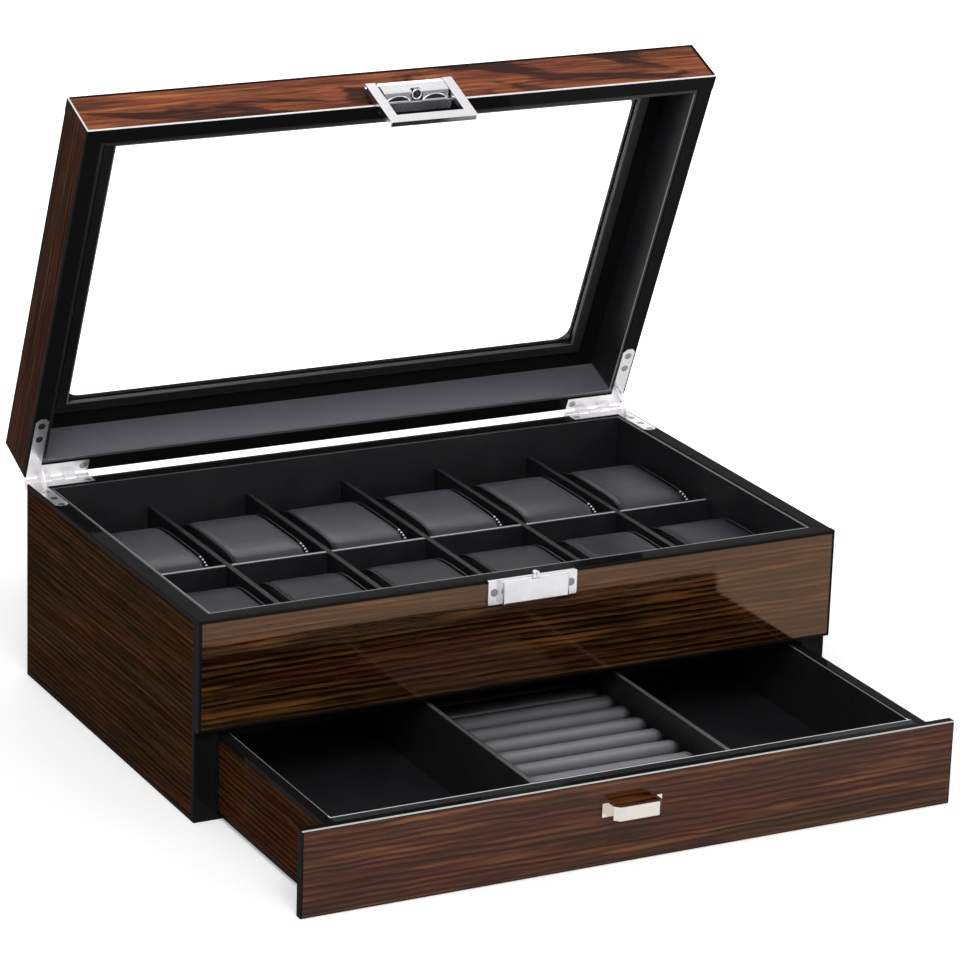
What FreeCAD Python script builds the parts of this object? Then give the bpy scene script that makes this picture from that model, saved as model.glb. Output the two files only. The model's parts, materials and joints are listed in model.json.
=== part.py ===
import FreeCAD, Part
import math
import os
import re

import Sketcher
from FreeCAD import Placement, Rotation, Vector

# Watch box with drawer: a veneered case with a tray of twelve watch pillows,
# a glazed lid on two quadrant hinges, a ring latch and a drawer with ring rolls.
# X runs to the right, Y to the back and Z up; the origin is the middle of the underside.
# Every piece is drawn with the lid and the drawer shut, then carried to the photographed pose.

doc = FreeCAD.newDocument("WatchBox")
sizes = doc.addObject("Spreadsheet::Sheet", "Sizes")

columns = 6
rows = 2
base_screws = 3
lid_screws = 2
knuckles = 5
rolls = 11
roll_steps = 4

driving = {
    # case
    "width": 340,
    "depth": 212,
    "base_height": 101,
    "wall": 8,
    "front_panel": 4.5,
    "front_panel_low": 46,
    "tray_front": 4,
    "tray_board": 4,
    "bay_height": 43,
    "base_board": 2,
    "bay_side": 4.5,
    "liner": 2,
    "liner_drop": 0.5,
    "arris": 0.6,
    # tray
    "divider": 3,
    "divider_height": 38,
    "halving_play": 0.1,
    "pillow_spare": 24.25,
    "pillow_height": 39,
    "pillow_gap": 4.2,
    "pillow_forward_front": 4.3,
    "pillow_forward_back": 8.5,
    "pillow_nose": 12,
    "pillow_crown": 1.2,
    "pillow_drawn": 2.2,
    "pillow_drawn_near": 0.45,
    "pillow_full_share": 0.8,
    # lid
    "lid_height": 27.7,
    "lid_gap": 0.3,
    "open_angle": 67.6,
    "top_board": 4.7,
    "window_margin": 27,
    "window_corner": 8,
    "glass": 2.5,
    "glass_lap": 4.5,
    "glass_play": 0.3,
    "bead": 6,
    "bead_thick": 1.7,
    # hinges
    "axis_back": 3.2,
    "axis_drop": 1.5,
    "leaf": 1.4,
    "leaf_width": 7,
    "leaf_inset": 1,
    "leaf_bevel": 2,
    "side_arm": 37,
    "rear_arm": 33,
    "barrel_radius": 2.6,
    "pin_radius": 1.2,
    "pin_play": 0.05,
    "knuckle_gap": 0.2,
    "quadrant_inner": 12,
    "quadrant_outer": 15.5,
    "quadrant_thick": 1,
    "quadrant_inset": 5.2,
    "quadrant_sweep": 68,
    "quadrant_play": 0.6,
    "base_screw_first": 34.8,
    "base_screw_pitch": 9.85,
    "lid_screw_first": 32.4,
    "lid_screw_pitch": 8.3,
    "rear_screw": 31,
    "screw_head": 1.9,
    "screw_shank": 0.9,
    "screw_long": 8,
    "screw_play": 0.05,
    # latch
    "latch_side": 1.4,
    "latch_plate": 1.5,
    "plate_corner": 0.8,
    "catch_width": 47.4,
    "catch_drop": 12.1,
    "block_width": 35.4,
    "block_drop": 11.6,
    "block_top_drop": 0.2,
    "block_out": 4.2,
    "block_ease": 1,
    "tab_width": 3.4,
    "tab_thick": 1.6,
    "tab_rise": 3.4,
    "tab_drop": 9,
    "tab_setback": 0.9,
    "tab_travel": 2,
    "tab_play": 0.25,
    "tab_round": 1.6,
    "tab_slot": 0.8,
    "tab_slot_high": 2.2,
    "tab_slot_drop": 1,
    "catch_screw": 20.6,
    "keeper_width": 44.4,
    "keeper_lift": 0.5,
    "keeper_height": 13.7,
    "keeper_screw": 19.9,
    "shroud_width": 34.8,
    "shroud_lift": 1.8,
    "shroud_height": 10.8,
    "shroud_out": 3.6,
    "shroud_step": 0.5,
    "shroud_rake": 1.6,
    "notch_width": 5,
    "notch_height": 3,
    "ring_width": 46.8,
    "ring_lift": 11.7,
    "ring_height": 32.2,
    "ring_hole_width": 36,
    "ring_bar": 5.5,
    "ring_thick": 3,
    "ring_gap": 0.4,
    "ring_corner": 1,
    "ring_round": 1.4,
    "ring_ease": 0.4,
    "ring_pin": 0.8,
    # drawer
    "drawer_out": 113.3,
    "drawer_front": 4.5,
    "drawer_front_low": 0.3,
    "drawer_front_high": 42.3,
    "drawer_side": 5,
    "drawer_end": 5,
    "drawer_inner_front": 6,
    "drawer_bottom": 3,
    "drawer_box_high": 42,
    "drawer_play": 0.5,
    "drawer_float": 0.3,
    "drawer_back_gap": 2,
    "drawer_liner": 1,
    "drawer_divider_drop": 1,
    "drawer_third": 51.2,
    "bay_aside": 2.5,
    "roll_front": 0.3,
    "roll_back": 10.4,
    "roll_radius": 8.2,
    "roll_high": 26.2,
    "roll_short": 0.4,
    "roll_droop": 5,
    "roll_turn": 80,
    "roll_least": 1,
    "roll_play": 0.3,
    # handle
    "handle_side": -4.8,
    "handle_width": 25,
    "handle_feet": 31,
    "handle_out": 9.2,
    "handle_strip": 1.6,
    "handle_high": 6.8,
    "handle_middle": 28.2,
    "handle_bevel": 2.4,
    "handle_inner_bevel": 1.9,
    "handle_ease": 0.4,
}

worked_out = {
    "half_width": "width / 2",
    "front": "-depth / 2",
    "back": "depth / 2",
    "wall_front": "front + front_panel",
    "inner_half": "half_width - wall",
    "inner_back": "back - wall",
    "tray_face": "wall_front + tray_front",
    "tray_low": "bay_height + tray_board",
    "tray_half": "inner_half - liner",
    "tray_front_face": "tray_face + liner",
    "tray_back_face": "inner_back - liner",
    "tray_middle": "(tray_front_face + tray_back_face) / 2",
    "liner_high": "base_height - liner_drop",
    "divider_high": "tray_low + divider_height",
    "cell_width": f"(2 * tray_half - {columns - 1} * divider) / {columns}",
    "cell_depth": f"(tray_back_face - tray_front_face - {rows - 1} * divider) / {rows}",
    "pillow_length": "cell_depth - pillow_spare",
    "column_pitch": "cell_width + divider",
    "row_pitch": "cell_depth + divider",
    "lid_low": "base_height + lid_gap",
    "lid_high": "lid_low + lid_height",
    "top_low": "lid_high - top_board",
    "window_half": "half_width - window_margin",
    "window_front": "front + window_margin",
    "window_back": "back - window_margin",
    "bead_low": "top_low - bead_thick",
    "axis_y": "back + axis_back",
    "axis_z": "base_height - axis_drop",
    "lid_shift_y": "axis_y - axis_y * cos(open_angle) - axis_z * sin(open_angle)",
    "lid_shift_z": "axis_z + axis_y * sin(open_angle) - axis_z * cos(open_angle)",
    "leaf_low": "base_height - leaf",
    "lid_leaf_high": "lid_low + leaf",
    "quadrant_front": "axis_y - quadrant_outer",
    "quadrant_back": "axis_y - quadrant_inner",
    "quadrant_reach": "axis_y - quadrant_inner * cos(quadrant_sweep)",
    "quadrant_x": "half_width - quadrant_inset",
    "pocket_low": "axis_z - quadrant_outer - quadrant_play",
    "slot_half": "quadrant_thick / 2 + quadrant_play / 3",
    "pilot": "screw_shank + screw_play / 2",
    "rear_screw_y": "back - leaf_width / 2",
    "side_screw_x": "half_width - leaf_inset - leaf_width / 2",
    "plate_face": "front - latch_plate",
    "catch_low": "base_height - catch_drop",
    "block_low": "base_height - block_drop",
    "block_high": "base_height - block_top_drop",
    "block_face": "plate_face - block_out",
    "catch_screw_z": "(catch_low + base_height) / 2",
    "tab_front": "block_face + tab_setback",
    "tab_foot": "base_height - tab_drop",
    "tab_top": "base_height + tab_rise",
    "keeper_low": "lid_low + keeper_lift",
    "keeper_high": "keeper_low + keeper_height",
    "keeper_screw_z": "(keeper_low + keeper_high) / 2",
    "shroud_low": "lid_low + shroud_lift",
    "shroud_high": "shroud_low + shroud_height",
    "shroud_face": "plate_face - shroud_out",
    "ring_back": "plate_face - ring_gap",
    "ring_high": "lid_low + ring_lift",
    "ring_low": "ring_high - ring_height",
    "ring_hole_low": "ring_low + ring_bar",
    "ring_axis_y": "ring_back - ring_thick / 2",
    "ring_axis_z": "ring_high - ring_thick / 2",
    "bay_half": "inner_half - bay_side",
    "drawer_half": "bay_half - drawer_play",
    "drawer_low": "base_board + drawer_float",
    "drawer_face": "front + drawer_front",
    "drawer_rear": "inner_back - drawer_back_gap",
    "drawer_inner_half": "drawer_half - drawer_side",
    "drawer_floor": "drawer_low + drawer_bottom",
    "drawer_front_liner": "drawer_face + drawer_inner_front",
    "drawer_back_liner": "drawer_rear - drawer_end",
    "store_half": "drawer_inner_half - drawer_liner",
    "store_front": "drawer_front_liner + drawer_liner",
    "store_back": "drawer_back_liner - drawer_liner",
    "store_floor": "drawer_floor + drawer_liner",
    "store_high": "drawer_box_high - liner_drop",
    "roll_pitch": f"(store_back - store_front - roll_front - roll_back) / {rolls}",
    "bay_left": "bay_aside - drawer_third",
    "bay_right": "bay_aside + drawer_third",
    "foot_face": "front - handle_strip",
    "handle_face": "front - handle_out",
    "handle_low": "handle_middle - handle_high / 2",
}


def fill_sheet():
    """Write the driving sizes, then what is worked out from them."""
    for row, (name, number) in enumerate(driving.items(), start=1):
        sizes.set(f"A{row}", name)
        sizes.set(f"B{row}", str(number))
        sizes.setAlias(f"B{row}", name)
    for row, (name, formula) in enumerate(worked_out.items(), start=1):
        sizes.set(f"D{row}", name)
        sizes.set(f"E{row}", "=" + formula)
        sizes.setAlias(f"E{row}", name)
    doc.recompute()


fill_sheet()
pieces = []


def bind(item, prop, formula):
    """Tie a property to a formula of the sheet's names."""
    item.setExpression(prop, re.sub(r"[a-z][a-z_]*", r"Sizes.\g<0>", formula))


def carry(item, carrier, aside):
    """Take a piece from the shut pose to the photographed one, and aside where it is off the middle."""
    if carrier == "lid":
        item.Placement = Placement(Vector(), Rotation(Vector(-1, 0, 0), 1))
        bind(item, "Placement.Rotation.Angle", "open_angle")
        bind(item, "Placement.Base.y", "lid_shift_y")
        bind(item, "Placement.Base.z", "lid_shift_z")
    if carrier == "drawer":
        bind(item, "Placement.Base.y", "-drawer_out")
    if aside:
        bind(item, "Placement.Base.x", aside)


def keep(item, carrier, aside=None):
    """List a finished piece and put it in its pose."""
    carry(item, carrier, aside)
    pieces.append(item)
    return item


def new_body(name):
    body = doc.addObject("PartDesign::Body", name)
    body.Label = name
    return body


def sketch_on(body, plane, height):
    """A sketch on one of the body's own planes, raised along its normal."""
    number = len(body.Group)
    sketch = body.newObject("Sketcher::SketchObject", f"{body.Name}_sketch_{number}")
    support = next(item for item in body.Origin.OriginFeatures if item.Role == plane)
    sketch.AttachmentSupport = [(support, "")]
    sketch.MapMode = "FlatFace"
    bind(sketch, "AttachmentOffset.Base.z", height)
    return sketch


def pin_point(sketch, element, end, place):
    """Hold a point of the sketch at a place given by two formulas."""
    for kind, formula in zip(("DistanceX", "DistanceY"), place):
        number = sketch.addConstraint(Sketcher.Constraint(kind, -1, 1, element, end, 1.0))
        bind(sketch, f"Constraints[{number}]", formula)


def draw_outline(sketch, points):
    """A closed outline of straight lines through the points."""
    first = sketch.GeometryCount
    count = len(points)
    start = [Rotation(Vector(0, 0, 1), 360 * k / count) * Vector(1, 0, 0) for k in range(count)]
    for k in range(count):
        sketch.addGeometry(Part.LineSegment(start[k], start[(k + 1) % count]), False)
    for k in range(count):
        following = first + (k + 1) % count
        sketch.addConstraint(Sketcher.Constraint("Coincident", first + k, 2, following, 1))
    for k, place in enumerate(points):
        pin_point(sketch, first + k, 1, place)


def draw_circle(sketch, place, radius):
    number = sketch.addGeometry(Part.Circle(Vector(), Vector(0, 0, 1), 1), False)
    pin_point(sketch, number, 3, place)
    held = sketch.addConstraint(Sketcher.Constraint("Radius", number, 1.0))
    bind(sketch, f"Constraints[{held}]", radius)


def rectangle(across, along):
    """The four corners between two spans."""
    (left, right), (low, high) = across, along
    return [(left, low), (right, low), (right, high), (left, high)]


def pad(body, sketch, length):
    feature = body.newObject("PartDesign::Pad", f"{body.Name}_pad_{len(body.Group)}")
    feature.Profile = sketch
    bind(feature, "Length", length)
    return feature


def pocket(body, sketch, length, away=False):
    """Cut below the sketch, or above it where away is set."""
    feature = body.newObject("PartDesign::Pocket", f"{body.Name}_pocket_{len(body.Group)}")
    feature.Profile = sketch
    feature.Reversed = away
    bind(feature, "Length", length)
    return feature


def add_block(body, across, along, upward):
    sketch = sketch_on(body, "XY_Plane", upward[0])
    draw_outline(sketch, rectangle(across, along))
    pad(body, sketch, f"({upward[1]}) - ({upward[0]})")


def cut_block(body, across, along, upward):
    sketch = sketch_on(body, "XY_Plane", upward[1])
    draw_outline(sketch, rectangle(across, along))
    pocket(body, sketch, f"({upward[1]}) - ({upward[0]})")


def drill(body, plane, height, places, radius, deep, away=False):
    """Round holes of one size at several places."""
    sketch = sketch_on(body, plane, height)
    for place in places:
        draw_circle(sketch, place, radius)
    pocket(body, sketch, deep, away)


def board(name, carrier, across, along, upward):
    """A plain board as a body, given by its three spans."""
    body = new_body(name)
    add_block(body, across, along, upward)
    return keep(body, carrier)


def spread(edge):
    """How far the edge's ends lie apart in X, Y and Z."""
    first, last = edge.firstVertex().Point, edge.lastVertex().Point
    return Vector(abs(last.x - first.x), abs(last.y - first.y), abs(last.z - first.z))


def runs_along(edge, axis):
    gap = spread(edge)
    others = sum(getattr(gap, other) for other in "xyz" if other != axis)
    return getattr(gap, axis) > 0.01 and others < 0.001


def round_edges(body, radius, chosen):
    """Round the edges of the body that the test chooses."""
    doc.recompute()
    base = body.Tip
    names = [f"Edge{k}" for k, edge in enumerate(base.Shape.Edges, start=1) if chosen(edge)]
    feature = body.newObject("PartDesign::Fillet", f"{body.Name}_round_{len(body.Group)}")
    feature.Base = (base, names)
    bind(feature, "Radius", radius)


def face_edges(axis, side):
    """A test for the edges that lie in the body's outermost face on one side of an axis."""
    def test_of(body):
        doc.recompute()
        box = body.Tip.Shape.BoundBox
        limit = getattr(box, axis.upper() + ("Min" if side < 0 else "Max"))
        return lambda edge: all(abs(getattr(end.Point, axis) - limit) < 0.001 for end in edge.Vertexes)
    return test_of


def ease_face(body, axis, side):
    """Ease the arris round one outer face."""
    round_edges(body, "arris", face_edges(axis, side)(body))


def box(name, across, along, upward):
    """A plain box that becomes part of another object."""
    item = doc.addObject("Part::Box", name)
    for prop, span in zip(("Length", "Width", "Height"), (across, along, upward)):
        bind(item, prop, f"({span[1]}) - ({span[0]})")
    for prop, span in zip("xyz", (across, along, upward)):
        bind(item, f"Placement.Base.{prop}", span[0])
    return item


turns = {
    "x": Rotation(Vector(0, 1, 0), 90),
    "y": Rotation(Vector(-1, 0, 0), 90),
    "z": Rotation(),
    "-z": Rotation(Vector(1, 0, 0), 180),
}


def rod(name, axis, radius, place, length):
    """A round bar from a place along an axis."""
    item = doc.addObject("Part::Cylinder", name)
    bind(item, "Radius", radius)
    bind(item, "Height", length)
    item.Placement = Placement(Vector(), turns[axis])
    for prop, formula in zip("xyz", place):
        bind(item, f"Placement.Base.{prop}", formula)
    return item


def fuse(name, members):
    item = doc.addObject("Part::MultiFuse", name)
    item.Shapes = members
    return item


def cut(name, base, tools):
    item = doc.addObject("Part::Cut", name)
    item.Base = base
    item.Tool = tools[0] if len(tools) == 1 else fuse(f"{name}_tools", tools)
    return item


def together(name, carrier, members, aside=None):
    """Separate solids of one kind kept as one piece."""
    item = doc.addObject("Part::Compound", name)
    item.Links = members
    item.Label = name
    return keep(item, carrier, aside)


def screw(name, axis, place):
    """A flat head as thick as the plate that it holds, on a plain shank."""
    plate = "latch_plate" if axis == "y" else "leaf"
    head = rod(f"{name}_head", axis, "screw_head", place, plate)
    shank = rod(f"{name}_shank", axis, "screw_shank", place, "screw_long")
    return fuse(name, [head, shank])


# Case


def hinge_points(side):
    """The L of a hinge leaf seen from above, on the left or the right."""
    outer = f"{side} * (half_width - leaf_inset)"
    inner = f"{side} * (half_width - leaf_inset - leaf_width)"
    outer_bevel = f"{side} * (half_width - leaf_inset - leaf_bevel)"
    inner_bevel = f"{side} * (half_width - leaf_inset - leaf_width + leaf_bevel)"
    tip = f"{side} * (half_width - leaf_inset - rear_arm)"
    return [
        (outer, "back"),
        (outer, "back - side_arm + leaf_bevel"),
        (outer_bevel, "back - side_arm"),
        (inner_bevel, "back - side_arm"),
        (inner, "back - side_arm + leaf_bevel"),
        (inner, "back - leaf_width"),
        (tip, "back - leaf_width"),
        (tip, "back"),
    ]


def base_screw_places(side):
    """Places of the side arm's screws, front to back, then the rear arm's."""
    rows_of = [f"back - base_screw_first + {k} * base_screw_pitch" for k in range(base_screws)]
    places = [(f"{side} * side_screw_x", row) for row in rows_of]
    return places + [(f"{side} * (half_width - rear_screw)", "rear_screw_y")]


def lid_screw_places(side):
    rows_of = [f"back - lid_screw_first + {k} * lid_screw_pitch" for k in range(lid_screws)]
    places = [(f"{side} * side_screw_x", row) for row in rows_of]
    return places + [(f"{side} * (half_width - rear_screw)", "rear_screw_y")]


def catch_screw_places():
    return [(f"latch_side + {side} * catch_screw", "catch_screw_z") for side in (-1, 1)]


def let_in_base_leaf(body, side):
    """Recess and pilot holes for a hinge leaf in the top of the case."""
    sketch = sketch_on(body, "XY_Plane", "base_height")
    draw_outline(sketch, hinge_points(side))
    pocket(body, sketch, "leaf")


def let_in_lid_leaf(body, side):
    """Recess for a hinge leaf in the underside of the lid."""
    sketch = sketch_on(body, "XY_Plane", "lid_low")
    draw_outline(sketch, hinge_points(side))
    pocket(body, sketch, "leaf", away=True)


def side_wall(name, side):
    body = new_body(name)
    across = ("-half_width", "-inner_half") if side < 0 else ("inner_half", "half_width")
    add_block(body, across, ("wall_front", "back"), ("0", "base_height"))
    ease_face(body, "x", side)
    let_in_base_leaf(body, side)
    near, far = f"{side} * quadrant_x - slot_half", f"{side} * quadrant_x + slot_half"
    reach = ("quadrant_front - quadrant_play", "quadrant_reach + quadrant_play / 2")
    cut_block(body, (near, far), reach, ("pocket_low", "leaf_low"))
    places = base_screw_places(side)[:base_screws]
    drill(body, "XY_Plane", "leaf_low", places, "pilot", "screw_long")
    return keep(body, "case")


def back_wall():
    body = new_body("back_wall")
    add_block(body, ("-inner_half", "inner_half"), ("inner_back", "back"), ("0", "base_height"))
    for side in (-1, 1):
        let_in_base_leaf(body, side)
    places = [base_screw_places(side)[-1] for side in (-1, 1)]
    drill(body, "XY_Plane", "leaf_low", places, "pilot", "screw_long")
    return keep(body, "case")


def upper_front_panel():
    body = new_body("upper_front_panel")
    upward = ("front_panel_low", "base_height")
    add_block(body, ("-half_width", "half_width"), ("front", "wall_front"), upward)
    ease_face(body, "y", -1)
    drill(body, "XZ_Plane", "-front", catch_screw_places(), "pilot", "front_panel")
    return keep(body, "case")


def tray_front_wall():
    body = new_body("tray_front_wall")
    across = ("-inner_half", "inner_half")
    add_block(body, across, ("wall_front", "tray_face"), ("tray_low", "base_height"))
    drill(body, "XZ_Plane", "-wall_front", catch_screw_places(), "pilot", "tray_front")
    return keep(body, "case")


def case_boards():
    side_wall("side_wall_left", -1)
    side_wall("side_wall_right", 1)
    back_wall()
    upper_front_panel()
    tray_front_wall()
    across = ("-inner_half", "inner_half")
    along = ("wall_front", "inner_back")
    board("tray_board", "case", across, along, ("bay_height", "tray_low"))
    board("bottom_board", "case", across, along, ("0", "base_board"))
    upward = ("base_board", "bay_height")
    left = box("bay_side_left", ("-inner_half", "-bay_half"), along, upward)
    right = box("bay_side_right", ("bay_half", "inner_half"), along, upward)
    together("bay_side_boards", "case", [left, right])


def tray_lining():
    """Four lined strips round the tray, the long ones between the short."""
    upward = ("tray_low", "liner_high")
    along = ("tray_face", "inner_back")
    across = ("-tray_half", "tray_half")
    strips = [
        box("liner_left", ("-inner_half", "-tray_half"), along, upward),
        box("liner_right", ("tray_half", "inner_half"), along, upward),
        box("liner_front", across, ("tray_face", "tray_front_face"), upward),
        box("liner_back", across, ("tray_back_face", "inner_back"), upward),
    ]
    together("tray_liner", "case", strips)


def column_edge(number):
    """The middle of the number-th cross divider, counted from the left."""
    return f"-tray_half + {number} * column_pitch - divider / 2"


def long_divider():
    """The divider along the tray, slotted from above for the cross dividers."""
    body = new_body("long_divider")
    along = ("tray_middle - divider / 2", "tray_middle + divider / 2")
    add_block(body, ("-tray_half", "tray_half"), along, ("tray_low", "divider_high"))
    for number in range(1, columns):
        middle = column_edge(number)
        low = f"{middle} - divider / 2 - halving_play"
        high = f"{middle} + divider / 2 + halving_play"
        cut_block(body, (low, high), along, ("tray_low + divider_height / 2", "divider_high"))
    return keep(body, "case")


def cross_divider(number):
    """A divider from front to back, slotted from below for the long one."""
    body = new_body(f"cross_divider_{number}")
    middle = column_edge(number)
    across = (f"{middle} - divider / 2", f"{middle} + divider / 2")
    along = ("tray_front_face", "tray_back_face")
    add_block(body, across, along, ("tray_low", "divider_high"))
    slot = (
        "tray_middle - divider / 2 - halving_play",
        "tray_middle + divider / 2 + halving_play",
    )
    cut_block(body, across, slot, ("tray_low", "tray_low + divider_height / 2"))
    return keep(body, "case")


# Soft pieces


def size(name):
    """A number of the sheet as it stands."""
    return float(sizes.get(name))


def arc(first, through, last):
    return Part.Arc(first, through, last).toShape()


def pillow_section(x, inset):
    """One section of a pillow: flat foot, two round ends and a crowned top."""
    half = size("pillow_length") / 2 - inset
    high = size("pillow_height") - inset
    nose = size("pillow_nose")
    crown = size("pillow_crown")
    shoulder = half - nose
    middle = high / 2
    slant = math.sqrt(0.5)

    def point(y, z):
        return Vector(x, y, z)

    ends = []
    for side in (-1, 1):
        upper = arc(
            point(side * shoulder, high - crown),
            point(side * (shoulder + slant * nose), middle + slant * (high - crown - middle)),
            point(side * half, middle),
        )
        lower = arc(
            point(side * half, middle),
            point(side * (shoulder + slant * nose), middle - slant * middle),
            point(side * shoulder, 0),
        )
        ends += [upper, lower]
    top = arc(point(-shoulder, high - crown), point(0, high), point(shoulder, high - crown))
    foot = Part.makeLine(point(-shoulder, 0), point(shoulder, 0))
    return Part.Wire(Part.__sortEdges__([*ends, top, foot]))


def pillow_shape():
    """A pillow with drawn-in ends, lying along X about its own middle."""
    half = (size("cell_width") - 2 * size("pillow_gap")) / 2
    drawn = size("pillow_drawn")
    near, share = size("pillow_drawn_near"), size("pillow_full_share")
    stations = {-1: drawn, -share: near, 0: 0, share: near, 1: drawn}
    sections = [pillow_section(share * half, inset) for share, inset in stations.items()]
    return Part.makeLoft(sections, True, False)


def watch_pillows():
    """Twelve alike, the first at the front left."""
    shape = pillow_shape()
    forward = (size("pillow_forward_front"), size("pillow_forward_back"))
    for row in range(rows):
        for column in range(columns):
            item = doc.addObject("Part::Feature", f"watch_pillow_{row * columns + column + 1}")
            item.Label = item.Name
            item.Shape = shape.copy()
            x = (column - (columns - 1) / 2) * size("column_pitch")
            y = size("tray_middle") + (row - (rows - 1) / 2) * size("row_pitch")
            y -= forward[row]
            item.Placement = Placement(Vector(x, y, size("tray_low")), Rotation())
            pieces.append(item)


def roll_section(x, drop):
    """One section of a ring roll: straight sides under a round top."""
    half = (size("roll_pitch") - size("roll_play")) / 2
    round_low = size("roll_high") - size("roll_radius")
    high = size("roll_high") - drop
    shoulder = min(round_low, high - size("roll_least"))
    slant = math.sqrt(0.5)

    def point(y, z):
        return Vector(x, y, z)

    climb = high - shoulder
    left = arc(
        point(-half, shoulder),
        point(-slant * half, shoulder + slant * climb),
        point(0, high),
    )
    right = arc(
        point(0, high),
        point(slant * half, shoulder + slant * climb),
        point(half, shoulder),
    )
    corners = [point(half, shoulder), point(half, 0), point(-half, 0), point(-half, shoulder)]
    lines = [Part.makeLine(a, b) for a, b in zip(corners, corners[1:])]
    return Part.Wire([left, right, *lines])


def ring_rolls():
    """Padded rolls across the middle of the drawer, their right ends drooping."""
    low = size("bay_left") + size("divider") / 2 + size("roll_play")
    high = size("bay_right") - size("divider") / 2 - size("roll_short")
    droop = size("roll_droop")
    sections = [roll_section(low, 0), roll_section(high - droop, 0)]
    for step in range(1, roll_steps + 1):
        turn = math.radians(size("roll_turn")) * step / roll_steps
        drop = size("roll_radius") * (1 - math.cos(turn))
        sections.append(roll_section(high - droop + droop * math.sin(turn), drop))
    shape = Part.makeLoft(sections, True, True)
    nearest = size("store_front") + size("roll_front") + size("roll_pitch") / 2
    solids = []
    for number in range(rolls):
        y = nearest + number * size("roll_pitch")
        solids.append(shape.translated(Vector(0, y, size("store_floor"))))
    item = doc.addObject("Part::Feature", "ring_rolls")
    item.Label = "ring_rolls"
    item.Shape = Part.makeCompound(solids)
    keep(item, "drawer")


# Lid


def lid_rail(name, across, along, outward, sides):
    """A rail of the lid, eased on its outer face and let in for its hinge leaves."""
    body = new_body(name)
    add_block(body, across, along, ("lid_low", "lid_high"))
    ease_face(body, *outward)
    for side in sides:
        let_in_lid_leaf(body, side)
    return body


def lid_rails():
    front_along = ("front", "front + wall")
    front_rail = lid_rail("lid_rail_front", ("-half_width", "half_width"), front_along, ("y", -1), ())
    places = [(f"latch_side + {side} * keeper_screw", "keeper_screw_z") for side in (-1, 1)]
    drill(front_rail, "XZ_Plane", "-front", places, "pilot", "screw_long")
    keep(front_rail, "lid")
    side_along = ("front + wall", "back")
    for name, side in (("lid_rail_left", -1), ("lid_rail_right", 1)):
        across = ("-half_width", "-inner_half") if side < 0 else ("inner_half", "half_width")
        rail = lid_rail(name, across, side_along, ("x", side), (side,))
        places = lid_screw_places(side)[:lid_screws]
        drill(rail, "XY_Plane", "lid_leaf_high", places, "pilot", "screw_long", True)
        keep(rail, "lid")
    back_along = ("inner_back", "back")
    back_rail = lid_rail("lid_rail_back", ("-inner_half", "inner_half"), back_along, ("y", 1), (-1, 1))
    places = [lid_screw_places(side)[-1] for side in (-1, 1)]
    drill(back_rail, "XY_Plane", "lid_leaf_high", places, "pilot", "screw_long", True)
    keep(back_rail, "lid")


def lid_top_frame():
    """The board of the lid's top, with its window and the rebate for the glass."""
    body = new_body("lid_top_frame")
    sketch = sketch_on(body, "XY_Plane", "top_low")
    draw_outline(sketch, rectangle(("-inner_half", "inner_half"), ("front + wall", "inner_back")))
    pad(body, sketch, "top_board")
    pane = ("-window_half", "window_half"), ("window_front", "window_back")
    cut_block(body, *pane, ("top_low", "lid_high"))
    limit = (size("inner_half") + size("window_half")) / 2

    def window_edge(edge):
        return runs_along(edge, "z") and abs(edge.firstVertex().Point.x) < limit

    round_edges(body, "window_corner", window_edge)
    sketch = sketch_on(body, "XY_Plane", "top_low")
    across = ("-window_half - glass_lap", "window_half + glass_lap")
    along = ("window_front - glass_lap", "window_back + glass_lap")
    draw_outline(sketch, rectangle(across, along))
    pocket(body, sketch, "glass + glass_play", away=True)
    keep(body, "lid")


def window():
    """The pane in its rebate, and the bead of four strips that holds it."""
    across = ("-window_half - glass_lap + glass_play", "window_half + glass_lap - glass_play")
    along = ("window_front - glass_lap + glass_play", "window_back + glass_lap - glass_play")
    board("window_glass", "lid", across, along, ("top_low", "top_low + glass"))
    upward = ("bead_low", "top_low")
    full = ("-window_half - bead", "window_half + bead")
    between = ("window_front", "window_back")
    strips = [
        box("bead_front", full, ("window_front - bead", "window_front"), upward),
        box("bead_back", full, ("window_back", "window_back + bead"), upward),
        box("bead_left", ("-window_half - bead", "-window_half"), between, upward),
        box("bead_right", ("window_half", "window_half + bead"), between, upward),
    ]
    together("glass_bead", "lid", strips)


def lid_lining():
    upward = ("lid_low + liner_drop", "top_low")
    along = ("front + wall", "inner_back")
    across = ("-tray_half", "tray_half")
    strips = [
        box("lid_liner_left", ("-inner_half", "-tray_half"), along, upward),
        box("lid_liner_right", ("tray_half", "inner_half"), along, upward),
        box("lid_liner_front", across, ("front + wall", "front + wall + liner"), upward),
        box("lid_liner_back", across, ("tray_back_face", "inner_back"), upward),
    ]
    together("lid_liner", "lid", strips)


# Hinges


def leaf_plate(name, side, low):
    body = new_body(name)
    sketch = sketch_on(body, "XY_Plane", low)
    draw_outline(sketch, hinge_points(side))
    pad(body, sketch, "leaf")
    return body


def knuckle_parts(name, side, numbers, low):
    """Barrels on the axis, each with a web from the leaf's rear edge."""
    members = []
    for number in numbers:
        start = f"half_width - leaf_inset - {number + 1} * rear_arm / {knuckles} + knuckle_gap / 2"
        end = f"half_width - leaf_inset - {number} * rear_arm / {knuckles} - knuckle_gap / 2"
        left, right = (f"-({end})", f"-({start})") if side < 0 else (start, end)
        barrel_name = f"{name}_barrel_{number}"
        length = f"rear_arm / {knuckles} - knuckle_gap"
        members.append(rod(barrel_name, "x", "barrel_radius", (left, "axis_y", "axis_z"), length))
        web = ("back - leaf", "axis_y")
        members.append(box(f"{name}_web_{number}", (left, right), web, (low, f"{low} + leaf")))
    return members


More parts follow.
